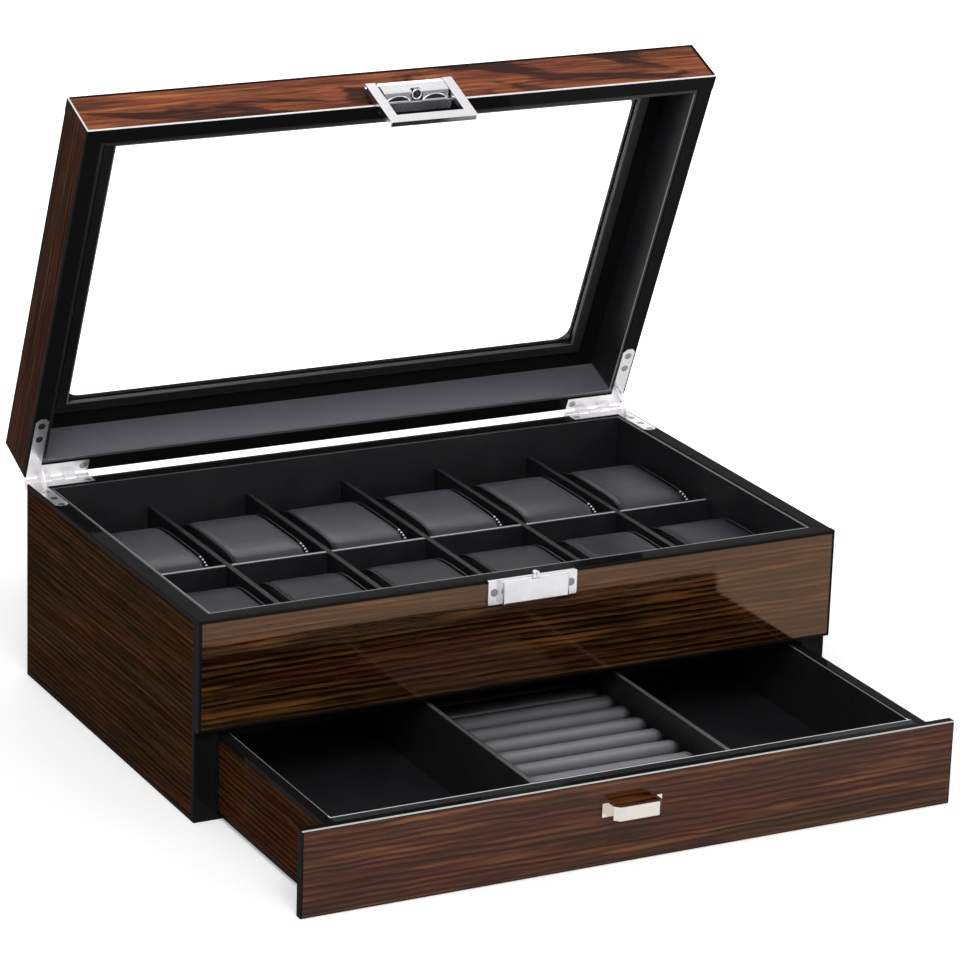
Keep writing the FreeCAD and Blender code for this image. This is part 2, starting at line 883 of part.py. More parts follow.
def pin_bore(name, side, play):
    left = "-half_width + leaf_inset" if side < 0 else "half_width - leaf_inset - rear_arm"
    return rod(name, "x", f"pin_radius + {play}", (left, "axis_y", "axis_z"), "rear_arm")


def leaf_holes(name, places, low):
    radius = "screw_head + screw_play"
    return [
        rod(f"{name}_hole_{k}", "z", radius, (*place, low), "leaf")
        for k, place in enumerate(places)
    ]


def quadrant(name, side):
    """The curved arm of a lid leaf, part of a ring about the hinge axis."""
    left = f"{side} * quadrant_x - quadrant_thick / 2"
    centre = (left, "axis_y", "axis_z")
    sector = rod(f"{name}_sector", "x", "quadrant_outer", centre, "quadrant_thick")
    bind(sector, "Angle", "quadrant_sweep")
    sector.Placement.Rotation = Rotation(Vector(0, -1, 0), Vector(0, 0, -1), Vector(1, 0, 0), "XYZ")
    inner = rod(f"{name}_inner", "x", "quadrant_inner", centre, "quadrant_thick")
    ring = cut(f"{name}_ring", sector, [inner])
    across = (left, f"{side} * quadrant_x + quadrant_thick / 2")
    along = ("quadrant_front", "quadrant_back")
    stub = box(f"{name}_stub", across, along, ("axis_z", "lid_leaf_high"))
    return [ring, stub]


def hinge_leaf_base(name, side):
    plate = leaf_plate(f"{name}_plate", side, "leaf_low")
    whole = fuse(f"{name}_whole", [plate, *knuckle_parts(name, side, range(0, knuckles, 2), "leaf_low")])
    near, far = f"{side} * quadrant_x - slot_half", f"{side} * quadrant_x + slot_half"
    along = ("quadrant_front - quadrant_play", "quadrant_back + quadrant_play")
    slot = box(f"{name}_slot", (near, far), along, ("leaf_low", "base_height"))
    tools = [slot, pin_bore(f"{name}_bore", side, "pin_play / 2")]
    tools += leaf_holes(name, base_screw_places(side), "leaf_low")
    item = cut(name, whole, tools)
    item.Label = name
    keep(item, "case")


def hinge_leaf_lid(name, side):
    plate = leaf_plate(f"{name}_plate", side, "lid_low")
    knuckle = knuckle_parts(name, side, range(1, knuckles, 2), "lid_low")
    whole = fuse(f"{name}_whole", [plate, *knuckle, *quadrant(name, side)])
    tools = [pin_bore(f"{name}_bore", side, "pin_play")]
    tools += leaf_holes(name, lid_screw_places(side), "lid_low")
    item = cut(name, whole, tools)
    item.Label = name
    keep(item, "lid")


def hinges():
    pins = []
    base_set = []
    lid_set = []
    for name, side in (("left", -1), ("right", 1)):
        hinge_leaf_base(f"hinge_leaf_base_{name}", side)
        hinge_leaf_lid(f"hinge_leaf_lid_{name}", side)
        pins.append(pin_bore(f"hinge_pin_{name}", side, "0"))
        for k, place in enumerate(base_screw_places(side)):
            base_set.append(screw(f"base_screw_{name}_{k}", "-z", (*place, "base_height")))
        for k, place in enumerate(lid_screw_places(side)):
            lid_set.append(screw(f"lid_screw_{name}_{k}", "z", (*place, "lid_low")))
    together("hinge_pins", "case", pins)
    together("hinge_screws_base", "case", base_set)
    together("hinge_screws_lid", "lid", lid_set)


# Latch


def latch_catch():
    """The lower plate with its raised block, slotted for the release tab."""
    body = new_body("latch_catch")
    sketch = sketch_on(body, "XZ_Plane", "-front")
    across = ("-catch_width / 2", "catch_width / 2")
    draw_outline(sketch, rectangle(across, ("catch_low", "base_height")))
    pad(body, sketch, "latch_plate")
    round_edges(body, "plate_corner", lambda edge: runs_along(edge, "y"))
    sketch = sketch_on(body, "XZ_Plane", "-plate_face")
    across = ("-block_width / 2", "block_width / 2")
    draw_outline(sketch, rectangle(across, ("block_low", "block_high")))
    pad(body, sketch, "block_out")
    round_edges(body, "block_ease", face_edges("y", -1)(body))
    across = ("-tab_width / 2 - tab_play", "tab_width / 2 + tab_play")
    along = ("tab_front - tab_play", "tab_front + tab_thick + tab_play")
    cut_block(body, across, along, ("tab_foot - tab_travel - tab_play", "block_high"))
    places = [(f"{side} * catch_screw", "catch_screw_z") for side in (-1, 1)]
    drill(body, "XZ_Plane", "-plate_face", places, "screw_head + screw_play", "latch_plate")
    keep(body, "case", "latch_side")


def release_tab():
    """The sprung tab that stands out of the block; pressed down it frees the ring."""
    body = new_body("release_tab")
    across = ("-tab_width / 2", "tab_width / 2")
    add_block(body, across, ("tab_front", "tab_front + tab_thick"), ("tab_foot", "tab_top"))

    def top_edge(edge):
        near_top = edge.firstVertex().Point.z > (size("tab_top") + size("tab_foot")) / 2
        return runs_along(edge, "y") and near_top

    round_edges(body, "tab_round", top_edge)
    sketch = sketch_on(body, "XZ_Plane", "-tab_front")
    upward = ("tab_top - tab_slot_drop - tab_slot_high", "tab_top - tab_slot_drop")
    draw_outline(sketch, rectangle(("-tab_slot / 2", "tab_slot / 2"), upward))
    pocket(body, sketch, "tab_thick")
    keep(body, "case", "latch_side")


def keeper_shroud():
    """The bulged cover that holds the ring's pin, with a notch for the release tab."""
    shroud = new_body("keeper_shroud")
    sketch = sketch_on(shroud, "YZ_Plane", "-shroud_width / 2")
    outline = [
        ("plate_face", "shroud_low"),
        ("plate_face", "shroud_high"),
        ("(plate_face + shroud_face) / 2", "shroud_high"),
        ("shroud_face + shroud_step", "shroud_high - shroud_rake"),
        ("shroud_face", "ring_axis_z - shroud_rake"),
        ("shroud_face", "shroud_low + shroud_rake"),
        ("shroud_face + shroud_step", "shroud_low"),
    ]
    draw_outline(sketch, outline)
    pad(shroud, sketch, "shroud_width")
    across = ("-notch_width / 2", "notch_width / 2")
    upward = ("shroud_low", "shroud_low + notch_height")
    cut_block(shroud, across, ("shroud_face", "plate_face"), upward)
    return shroud


def latch_keeper():
    """The lid's plate with the cover that stands between the arms of the ring."""
    across = ("-keeper_width / 2", "keeper_width / 2")
    plate = box("keeper_plate", across, ("plate_face", "front"), ("keeper_low", "keeper_high"))
    centre = ("-shroud_width / 2", "ring_axis_y", "ring_axis_z")
    bores = [rod("keeper_bore", "x", "ring_pin + pin_play / 2", centre, "shroud_width")]
    for side in (-1, 1):
        place = (f"{side} * keeper_screw", "plate_face", "keeper_screw_z")
        name = f"keeper_hole_{side + 2}"
        bores.append(rod(name, "y", "screw_head + screw_play", place, "latch_plate"))
    item = cut("latch_keeper", fuse("keeper_whole", [plate, keeper_shroud()]), bores)
    item.Label = "latch_keeper"
    keep(item, "lid", "latch_side")


def latch_ring():
    """The ring that swings over the block: two arms on the pin, joined by a bar below."""
    body = new_body("latch_ring")
    sketch = sketch_on(body, "XZ_Plane", "-ring_back")
    outline = [
        ("-ring_width / 2", "ring_low"),
        ("ring_width / 2", "ring_low"),
        ("ring_width / 2", "ring_high"),
        ("ring_hole_width / 2", "ring_high"),
        ("ring_hole_width / 2", "ring_hole_low"),
        ("-ring_hole_width / 2", "ring_hole_low"),
        ("-ring_hole_width / 2", "ring_high"),
        ("-ring_width / 2", "ring_high"),
    ]
    draw_outline(sketch, outline)
    pad(body, sketch, "ring_thick")
    middle = (size("ring_low") + size("ring_high")) / 2

    def low_corner(edge):
        point = edge.firstVertex().Point
        outside = abs(point.x) > (size("ring_width") + size("ring_hole_width")) / 4
        return runs_along(edge, "y") and outside and point.z < middle

    round_edges(body, "ring_corner", low_corner)
    round_edges(body, "ring_ease", face_edges("y", -1)(body))

    def arm_end(edge):
        return runs_along(edge, "x") and edge.firstVertex().Point.z > middle

    round_edges(body, "ring_round", arm_end)
    sketch = sketch_on(body, "YZ_Plane", "ring_width / 2")
    draw_circle(sketch, ("ring_axis_y", "ring_axis_z"), "ring_pin + pin_play")
    pocket(body, sketch, "ring_width")
    keep(body, "lid", "latch_side")


def latch():
    latch_catch()
    release_tab()
    latch_keeper()
    latch_ring()
    start = ("-ring_width / 2 + ring_gap", "ring_axis_y", "ring_axis_z")
    pin = rod("latch_ring_pin", "x", "ring_pin", start, "ring_width - 2 * ring_gap")
    together("latch_pin", "lid", [pin], "latch_side")
    catch_set = []
    keeper_set = []
    for side in (-1, 1):
        place = (f"{side} * catch_screw", "plate_face", "catch_screw_z")
        catch_set.append(screw(f"catch_screw_{side + 2}", "y", place))
        place = (f"{side} * keeper_screw", "plate_face", "keeper_screw_z")
        keeper_set.append(screw(f"keeper_screw_{side + 2}", "y", place))
    together("latch_screws_base", "case", catch_set, "latch_side")
    together("latch_screws_lid", "lid", keeper_set, "latch_side")


# Drawer


def drawer_front():
    body = new_body("drawer_front")
    upward = ("drawer_front_low", "drawer_front_high")
    add_block(body, ("-half_width", "half_width"), ("front", "drawer_face"), upward)
    ease_face(body, "y", -1)
    keep(body, "drawer")


def drawer_box():
    upward = ("drawer_low", "drawer_box_high")
    along = ("drawer_face", "drawer_rear")
    across = ("-drawer_inner_half", "drawer_inner_half")
    board("drawer_side_left", "drawer", ("-drawer_half", "-drawer_inner_half"), along, upward)
    board("drawer_side_right", "drawer", ("drawer_inner_half", "drawer_half"), along, upward)
    board("drawer_inner_front", "drawer", across, ("drawer_face", "drawer_front_liner"), upward)
    board("drawer_back", "drawer", across, ("drawer_back_liner", "drawer_rear"), upward)
    floor = ("drawer_front_liner", "drawer_back_liner")
    board("drawer_bottom", "drawer", across, floor, ("drawer_low", "drawer_floor"))


def drawer_lining():
    upward = ("store_floor", "store_high")
    along = ("drawer_front_liner", "drawer_back_liner")
    across = ("-store_half", "store_half")
    floor_across = ("-drawer_inner_half", "drawer_inner_half")
    strips = [
        box("store_left", ("-drawer_inner_half", "-store_half"), along, upward),
        box("store_right", ("store_half", "drawer_inner_half"), along, upward),
        box("store_near", across, ("drawer_front_liner", "store_front"), upward),
        box("store_far", across, ("store_back", "drawer_back_liner"), upward),
        box("store_base", floor_across, along, ("drawer_floor", "store_floor")),
    ]
    together("drawer_liner", "drawer", strips)


def drawer_dividers():
    upward = ("store_floor", "drawer_box_high - drawer_divider_drop")
    along = ("store_front", "store_back")
    for name, middle in (("drawer_divider_left", "bay_left"), ("drawer_divider_right", "bay_right")):
        board(name, "drawer", (f"{middle} - divider / 2", f"{middle} + divider / 2"), along, upward)


def drawer_handle():
    """A strip bent to a shallow U, its feet flat against the drawer front."""
    body = new_body("drawer_handle")
    sketch = sketch_on(body, "XY_Plane", "handle_low")
    outer = "handle_width / 2"
    inner = "handle_width / 2 - handle_strip"
    right = [
        ("handle_feet / 2", "front"),
        ("handle_feet / 2", "foot_face"),
        (outer, "foot_face"),
        (outer, "handle_face + handle_bevel"),
        (f"{outer} - handle_bevel", "handle_face"),
    ]
    right_inner = [
        (f"{inner} - handle_inner_bevel", "handle_face + handle_strip"),
        (inner, "handle_face + handle_strip + handle_inner_bevel"),
        (inner, "front"),
    ]
    left = [(f"-({x})", y) for x, y in reversed(right)]
    left_inner = [(f"-({x})", y) for x, y in reversed(right_inner)]
    draw_outline(sketch, [*right, *left, *left_inner, *right_inner])
    pad(body, sketch, "handle_high")
    outer_face = (size("front") + size("handle_face")) / 2

    def grip_edge(edge):
        ends = [end.Point for end in edge.Vertexes]
        return all(end.y < outer_face for end in ends) and spread(edge).z < 0.01

    round_edges(body, "handle_ease", grip_edge)
    keep(body, "drawer", "handle_side")


def drawer():
    drawer_front()
    drawer_box()
    drawer_lining()
    drawer_dividers()
    ring_rolls()
    drawer_handle()


def check_all():
    """Stop if any object failed or any piece is empty or invalid."""
    for item in doc.Objects:
        if "Invalid" in item.State or "Error" in item.State:
            raise RuntimeError(f"{item.Name} failed: {item.State}")
    for item in pieces:
        if item.Shape.isNull() or not item.Shape.isValid():
            raise RuntimeError(f"{item.Label} has no valid shape")


def write_all():
    os.makedirs("parts", exist_ok=True)
    for item in pieces:
        item.Shape.exportStep(f"parts/{item.Label}.step")
        solids = len(item.Shape.Solids)
        print(f"{item.Label}: {solids} solid, {item.Shape.Volume:.0f} mm3")


case_boards()
tray_lining()
long_divider()
for divider_number in range(1, columns):
    cross_divider(divider_number)
watch_pillows()
lid_rails()
lid_top_frame()
window()
lid_lining()
hinges()
latch()
drawer()
doc.recompute()
check_all()
write_all()
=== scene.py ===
import bpy
import bmesh
import json
import math
import random
from mathutils import Matrix, Vector


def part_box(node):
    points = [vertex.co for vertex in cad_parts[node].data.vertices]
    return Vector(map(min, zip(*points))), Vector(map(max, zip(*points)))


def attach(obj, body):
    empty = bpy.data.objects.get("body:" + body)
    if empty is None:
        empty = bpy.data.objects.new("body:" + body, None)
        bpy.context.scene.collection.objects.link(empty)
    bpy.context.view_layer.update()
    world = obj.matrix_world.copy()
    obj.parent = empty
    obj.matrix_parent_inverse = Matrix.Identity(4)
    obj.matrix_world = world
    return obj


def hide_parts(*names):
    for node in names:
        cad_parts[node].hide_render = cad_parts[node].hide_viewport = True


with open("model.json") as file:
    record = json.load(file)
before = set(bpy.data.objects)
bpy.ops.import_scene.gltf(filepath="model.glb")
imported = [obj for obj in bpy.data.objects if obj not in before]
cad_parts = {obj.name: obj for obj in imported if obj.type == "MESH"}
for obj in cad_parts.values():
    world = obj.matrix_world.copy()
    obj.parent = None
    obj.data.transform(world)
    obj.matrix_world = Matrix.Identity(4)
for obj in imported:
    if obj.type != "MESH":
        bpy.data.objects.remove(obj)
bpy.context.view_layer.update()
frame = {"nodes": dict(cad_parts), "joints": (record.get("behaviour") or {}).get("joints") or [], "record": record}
nodes = frame["nodes"]
joints = {joint["name"]: joint for joint in frame["joints"]}
print("frame loaded:", len(nodes), "nodes")

mm = 0.001

# poses: the pieces of the lid and the drawer are worked out shut, then carried to where they rest
shutPose = {
    "hinge": Vector(joints["lid_hinge"]["pos_m"]),
    "lidAngle": math.radians(-joints["lid_hinge"]["range_deg"][0]),
    "drawerOut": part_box("upper_front_panel")[0].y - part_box("drawer_front")[0].y,
}


def lidMatrix():
    hinge = Matrix.Translation(shutPose["hinge"])
    return hinge @ Matrix.Rotation(-shutPose["lidAngle"], 4, "X") @ hinge.inverted()


carriers = {
    "case": Matrix.Identity(4),
    "lid": lidMatrix(),
    "drawer": Matrix.Translation((0, -shutPose["drawerOut"], 0)),
}
bodyOf = {node: body for body, names in frame["record"]["behaviour"]["bodies"].items() for node in names}


def shutBox(node):
    back = carriers[bodyOf[node]].inverted()
    places = [back @ vertex.co for vertex in nodes[node].data.vertices]
    low = Vector([min(place[axis] for place in places) for axis in range(3)])
    high = Vector([max(place[axis] for place in places) for axis in range(3)])
    return low, high


# small helpers for nodes

def put(tree, kind, inputs=None, **settings):
    node = tree.nodes.new("ShaderNode" + kind)
    for key, value in settings.items():
        setattr(node, key, value)
    for key, value in (inputs or {}).items():
        feed(tree, node.inputs[key], value)
    return node


def feed(tree, socket, value):
    # a link or a plain value
    if isinstance(value, bpy.types.NodeSocket):
        tree.links.new(value, socket)
    elif socket.type == "RGBA":
        socket.default_value = (*value[:3], 1)
    else:
        socket.default_value = value


def maths(tree, operation, first, second=0.0):
    return put(tree, "Math", {0: first, 1: second}, operation=operation).outputs[0]


def vectorMaths(tree, operation, first, second):
    return put(tree, "VectorMath", {0: first, 1: second}, operation=operation).outputs[0]


def scaled(tree, value, amount):
    return put(tree, "VectorMath", {0: value, 3: amount}, operation="SCALE").outputs[0]


def partsOf(tree, value):
    return put(tree, "SeparateXYZ", {0: value}).outputs


def clamped(tree, value):
    return put(tree, "Clamp", {0: value}).outputs[0]


def span(tree, value, given, wanted=(0.0, 1.0), soft=False):
    # carries one range over to another
    ends = {"From Min": given[0], "From Max": given[1], "To Min": wanted[0], "To Max": wanted[1]}
    steps = "SMOOTHSTEP" if soft else "LINEAR"
    return put(tree, "MapRange", {"Value": value, **ends}, interpolation_type=steps).outputs[0]


def noiseAt(tree, place, scale, detail, rough=0.5):
    inputs = {"Vector": place, "Scale": scale, "Detail": detail, "Roughness": rough}
    return put(tree, "TexNoise", inputs).outputs["Fac"]


def blendColour(tree, amount, first, second):
    return put(tree, "Mix", {0: amount, 6: first, 7: second}, data_type="RGBA").outputs[2]


def ramp(tree, value, stops):
    node = put(tree, "ValToRGB", {0: value})
    elements = node.color_ramp.elements
    while len(elements) < len(stops):
        elements.new(0.5)
    for element, (place, colour) in zip(elements, stops):
        element.position = place
        element.color = (*colour, 1)
    return node.outputs[0]


def newGroup(name, inputs, outputs):
    group = bpy.data.node_groups.new(name, "ShaderNodeTree")
    for label, kind, value in inputs:
        socket = group.interface.new_socket(label, in_out="INPUT", socket_type="NodeSocket" + kind)
        if value is not None:
            socket.default_value = value
    for label, kind in outputs:
        group.interface.new_socket(label, in_out="OUTPUT", socket_type="NodeSocket" + kind)
    return group, group.nodes.new("NodeGroupInput").outputs, group.nodes.new("NodeGroupOutput").inputs


def useGroup(tree, group, **inputs):
    node = tree.nodes.new("ShaderNodeGroup")
    node.node_tree = group
    for key, value in inputs.items():
        feed(tree, node.inputs[key], value)
    return node.outputs


# effects that several materials share

def nearSides(tree, given):
    # how far a place is from the nearer side of the box between Low and High, along each axis
    low = vectorMaths(tree, "SUBTRACT", given["Place"], given["Low"])
    high = vectorMaths(tree, "SUBTRACT", given["High"], given["Place"])
    return partsOf(tree, vectorMaths(tree, "MINIMUM", low, high))


border = {"softness": 0.2 * mm, "onFace": 0.3 * mm}


def buildBandGroup():
    # 1 on the field of one outer face, 0 on its border and on every other face
    group, given, result = newGroup(
        "edgeBand",
        [("Place", "Vector", None), ("Low", "Vector", None), ("High", "Vector", None),
         ("FaceAxis", "Vector", (1, 0, 0)), ("FacePlane", "Float", 0.0), ("Band", "Float", 2 * mm)],
        [("Field", "Float")],
    )
    near = nearSides(group, given)
    smaller = maths(group, "MINIMUM", near[0], near[1])
    larger = maths(group, "MAXIMUM", near[0], near[1])
    middle = maths(group, "MAXIMUM", smaller, maths(group, "MINIMUM", larger, near[2]))
    inner = maths(group, "DIVIDE", maths(group, "SUBTRACT", middle, given["Band"]), border["softness"])
    along = put(group, "VectorMath", {0: given["Place"], 1: given["FaceAxis"]}, operation="DOT_PRODUCT")
    away = maths(group, "ABSOLUTE", maths(group, "SUBTRACT", along.outputs[1], given["FacePlane"]))
    onFace = maths(group, "LESS_THAN", away, border["onFace"])
    group.links.new(maths(group, "MULTIPLY", clamped(group, inner), onFace), result["Field"])
    return group


woodGrain = {
    "pitch": 2.9 * mm,
    # for each noise: how fast it changes along and across the grain, its detail and its roughness
    "noises": {
        "bend": ((7, 20, 0), 1.0, 0.5),
        "fineBend": ((38, 120, 0), 1.0, 0.5),
        "uneven": ((1.5, 80, 0), 1.0, 0.5),
        "visible": ((13, 210, 0), 2.0, 0.5),
        "streak": ((12, 420, 0), 3.0, 0.55),
        "presence": ((16, 110, 0), 2.0, 0.5),
        "fibre": ((70, 1900, 0), 2.0, 0.6),
        "pore": ((110, 2600, 0), 1.0, 0.5),
        "knots": ((13, 62, 0), 3.5, 0.55),
        "patch": ((8, 60, 0), 2.0, 0.5),
        "flame": ((13, 150, 0), 2.0, 0.5),
    },
    "amounts": {"bend": 2.0, "fineBend": 0.9, "uneven": 4.5 * mm, "streak": 0.75, "presence": 0.45,
                "fibre": 0.55, "patch": 3.2},
    "spans": {"late": (0.42, 0.88), "sharp": (0.0, 0.12), "visible": (0.36, 0.62), "pore": (0.60, 0.70),
              "knots": (0.50, 0.60), "flame": (0.55, 0.72)},
    "visibleShare": (0.15, 1.15),
    "lineMiddle": 0.6,
    "poreDepth": 0.13,
    "middleTone": 0.47,
    "knotSlant": 9,
    "knotBend": 0.9,
    "brown": [
        (0.10, (0.0040, 0.0017, 0.0007)), (0.36, (0.0140, 0.0064, 0.0019)),
        (0.62, (0.0380, 0.0185, 0.0056)), (0.95, (0.0960, 0.0500, 0.0150)),
    ],
    "redder": [
        (0.10, (0.0060, 0.0014, 0.0007)), (0.36, (0.0190, 0.0046, 0.0019)),
        (0.62, (0.0530, 0.0140, 0.0052)), (0.95, (0.1350, 0.0400, 0.0120)),
    ],
    "flameColour": (0.20, 0.075, 0.020),
}


def buildGrainGroup():
    # Place is in metres with X along the grain and Y across it
    group, given, result = newGroup(
        "ringedGrain",
        [("Place", "Vector", None), ("Pitch", "Float", woodGrain["pitch"]), ("Waver", "Float", 2 * mm),
         ("Bright", "Float", 1.0), ("Redness", "Float", 0.5), ("Flame", "Float", 0.3),
         ("Lines", "Float", 0.6), ("Figure", "Float", 0.0)],
        [("Colour", "Color"), ("Height", "Float")],
    )
    spans = woodGrain["spans"]

    def noise(name, place=given["Place"], bent=0.0):
        scales, detail, rough = woodGrain["noises"][name]
        inputs = {"Vector": vectorMaths(group, "MULTIPLY", place, scales), "Scale": 1.0, "Detail": detail,
                  "Roughness": rough, "Distortion": bent}
        return put(group, "TexNoise", inputs).outputs["Fac"]

    def centred(name):
        away = maths(group, "SUBTRACT", noise(name), 0.5)
        return maths(group, "MULTIPLY", away, woodGrain["amounts"][name])

    # the rings: pale early wood that darkens into a late line, then a sharp step back
    bend = maths(group, "MULTIPLY", centred("bend"), given["Waver"])
    fineBend = maths(group, "MULTIPLY", centred("fineBend"), given["Waver"])
    across = maths(group, "ADD", partsOf(group, given["Place"])[1], bend)
    across = maths(group, "ADD", maths(group, "ADD", across, fineBend), centred("uneven"))
    ring = maths(group, "FRACT", maths(group, "DIVIDE", across, given["Pitch"]))
    early = maths(group, "SUBTRACT", 1.0, span(group, ring, spans["late"], soft=True))
    profile = maths(group, "MULTIPLY", early, span(group, ring, spans["sharp"], soft=True))
    visible = span(group, noise("visible"), spans["visible"], woodGrain["visibleShare"])
    lines = maths(group, "MULTIPLY", maths(group, "SUBTRACT", profile, woodGrain["lineMiddle"]), visible)

    # streaks, fibres, pores and knots over them
    tone = maths(group, "MULTIPLY", lines, given["Lines"])
    for name in ("streak", "presence", "fibre"):
        tone = maths(group, "ADD", tone, centred(name))
    pore = maths(group, "MULTIPLY", span(group, noise("pore"), spans["pore"]), woodGrain["poreDepth"])
    tone = maths(group, "ADD", maths(group, "SUBTRACT", tone, pore), woodGrain["middleTone"])
    slant = {"Vector": given["Place"], "Angle": math.radians(woodGrain["knotSlant"])}
    slanted = put(group, "VectorRotate", slant, rotation_type="Z_AXIS").outputs[0]
    knots = span(group, noise("knots", slanted, woodGrain["knotBend"]), spans["knots"], soft=True)
    tone = maths(group, "SUBTRACT", tone, maths(group, "MULTIPLY", knots, given["Figure"]))

    # the colours, in brown and redder patches with flames
    patch = clamped(group, maths(group, "ADD", centred("patch"), given["Redness"]))
    brown, redder = (ramp(group, tone, woodGrain[name]) for name in ("brown", "redder"))
    colour = blendColour(group, patch, brown, redder)
    flame = maths(group, "MULTIPLY", span(group, noise("flame"), spans["flame"]), given["Flame"])
    flame = maths(group, "MULTIPLY", flame, clamped(group, tone))
    colour = blendColour(group, flame, colour, woodGrain["flameColour"])
    group.links.new(scaled(group, colour, given["Bright"]), result["Colour"])
    group.links.new(tone, result["Height"])
    return group


def buildArrisGroup():
    # 1 near the top of a piece and close to the sides of the rectangle between Low and High
    group, given, result = newGroup(
        "arrisLine",
        [("Place", "Vector", None), ("Low", "Vector", None), ("High", "Vector", None), ("Top", "Float", 0.0),
         ("From", "Float", 0.0), ("To", "Float", 0.6 * mm), ("Depth", "Float", 0.5 * mm)],
        [("Line", "Float")],
    )
    near = nearSides(group, given)
    inside = maths(group, "MINIMUM", near[0], near[1])
    past = maths(group, "GREATER_THAN", inside, given["From"])
    short = maths(group, "LESS_THAN", inside, given["To"])
    away = maths(group, "SUBTRACT", given["Top"], partsOf(group, given["Place"])[2])
    shallow = maths(group, "LESS_THAN", maths(group, "ABSOLUTE", away), given["Depth"])
    line = maths(group, "MULTIPLY", maths(group, "MULTIPLY", past, short), shallow)
    group.links.new(line, result["Line"])
    return group


leather = {
    "lumps": {"scale": 160.0, "detail": 4.0},
    "mottle": {"scale": 55.0, "detail": 3.0},
    "pebbleDepth": -0.7,
    "lumpDepth": 0.5,
}


def buildHideGroup():
    # the pebbled grain of leatherette, with faint soft mottling
    group, given, result = newGroup(
        "hideGrain",
        [("Place", "Vector", None), ("Scale", "Float", 900.0)],
        [("Height", "Float"), ("Mottle", "Float")],
    )
    place = given["Place"]
    pebbles = put(group, "TexVoronoi", {"Vector": place, "Scale": given["Scale"]}, feature="SMOOTH_F1")
    pebbles = maths(group, "MULTIPLY", pebbles.outputs["Distance"], leather["pebbleDepth"])
    lumps = maths(group, "MULTIPLY", noiseAt(group, place, **leather["lumps"]), leather["lumpDepth"])
    group.links.new(maths(group, "ADD", pebbles, lumps), result["Height"])
    group.links.new(noiseAt(group, place, **leather["mottle"]), result["Mottle"])
    return group


handling = {"smears": {"scale": 38.0, "detail": 6.0, "rough": 0.6}, "span": (0.35, 0.7)}


def buildSmearGroup():
    # faint handling marks that vary the gloss of lacquer and metal
    group, given, result = newGroup(
        "handlingMarks",
        [("Place", "Vector", None), ("Low", "Float", 0.05), ("High", "Float", 0.12)],
        [("Roughness", "Float")],
    )
    smears = noiseAt(group, given["Place"], **handling["smears"])
    group.links.new(span(group, smears, handling["span"], (given["Low"], given["High"])), result["Roughness"])
    return group


bandGroup = buildBandGroup()
grainGroup = buildGrainGroup()
arrisGroup = buildArrisGroup()
hideGroup = buildHideGroup()
smearGroup = buildSmearGroup()
print("shared effects built")


def newMaterial(name, **fixed):
    material = bpy.data.materials.new(name)
    material.use_nodes = True
    tree = material.node_tree
    shader = tree.nodes["Principled BSDF"]
    for key, value in fixed.items():
        shader.inputs[key.replace("_", " ")].default_value = value
    return material, tree, shader


def ownPlace(tree):
    return put(tree, "TexCoord").outputs["Object"]


def placeOf(tree, carrier):
    # the object's own coordinates, taken back to the shut pose
    place = ownPlace(tree)
    if carrier == "lid":
        turn = {"Vector": place, "Center": shutPose["hinge"], "Angle": shutPose["lidAngle"]}
        return put(tree, "VectorRotate", turn, rotation_type="X_AXIS").outputs[0]
    if carrier == "drawer":
        return vectorMaths(tree, "ADD", place, (0, shutPose["drawerOut"], 0))
    return place


def clouded(tree, place, scale, detail, colours):
    return blendColour(tree, noiseAt(tree, place, scale, detail), *colours)


def mottled(tree, hide, colour, shares):
    return blendColour(tree, hide["Mottle"], *[[share * c for c in colour] for share in shares])


def addRelief(tree, shader, height, relief):
    strength, depth = relief
    bump = put(tree, "Bump", {"Height": height, "Strength": strength, "Distance": depth})
    tree.links.new(bump.outputs[0], shader.inputs["Normal"])


def finishWith(tree, shader, colour, place, rough, height=None, relief=None):
    # the colour, a gloss that handling has marked, and fine relief
    tree.links.new(colour, shader.inputs["Base Color"])
    marks = useGroup(tree, smearGroup, Place=place, Low=rough[0], High=rough[1])["Roughness"]
    tree.links.new(marks, shader.inputs["Roughness"])
    if height is not None:
        addRelief(tree, shader, height, relief)


def dress(node, material):
    mesh = nodes[node].data
    mesh.materials.clear()
    mesh.materials.append(material)


# veneered boards: grain across the outer face, black lacquer on the border and the edges

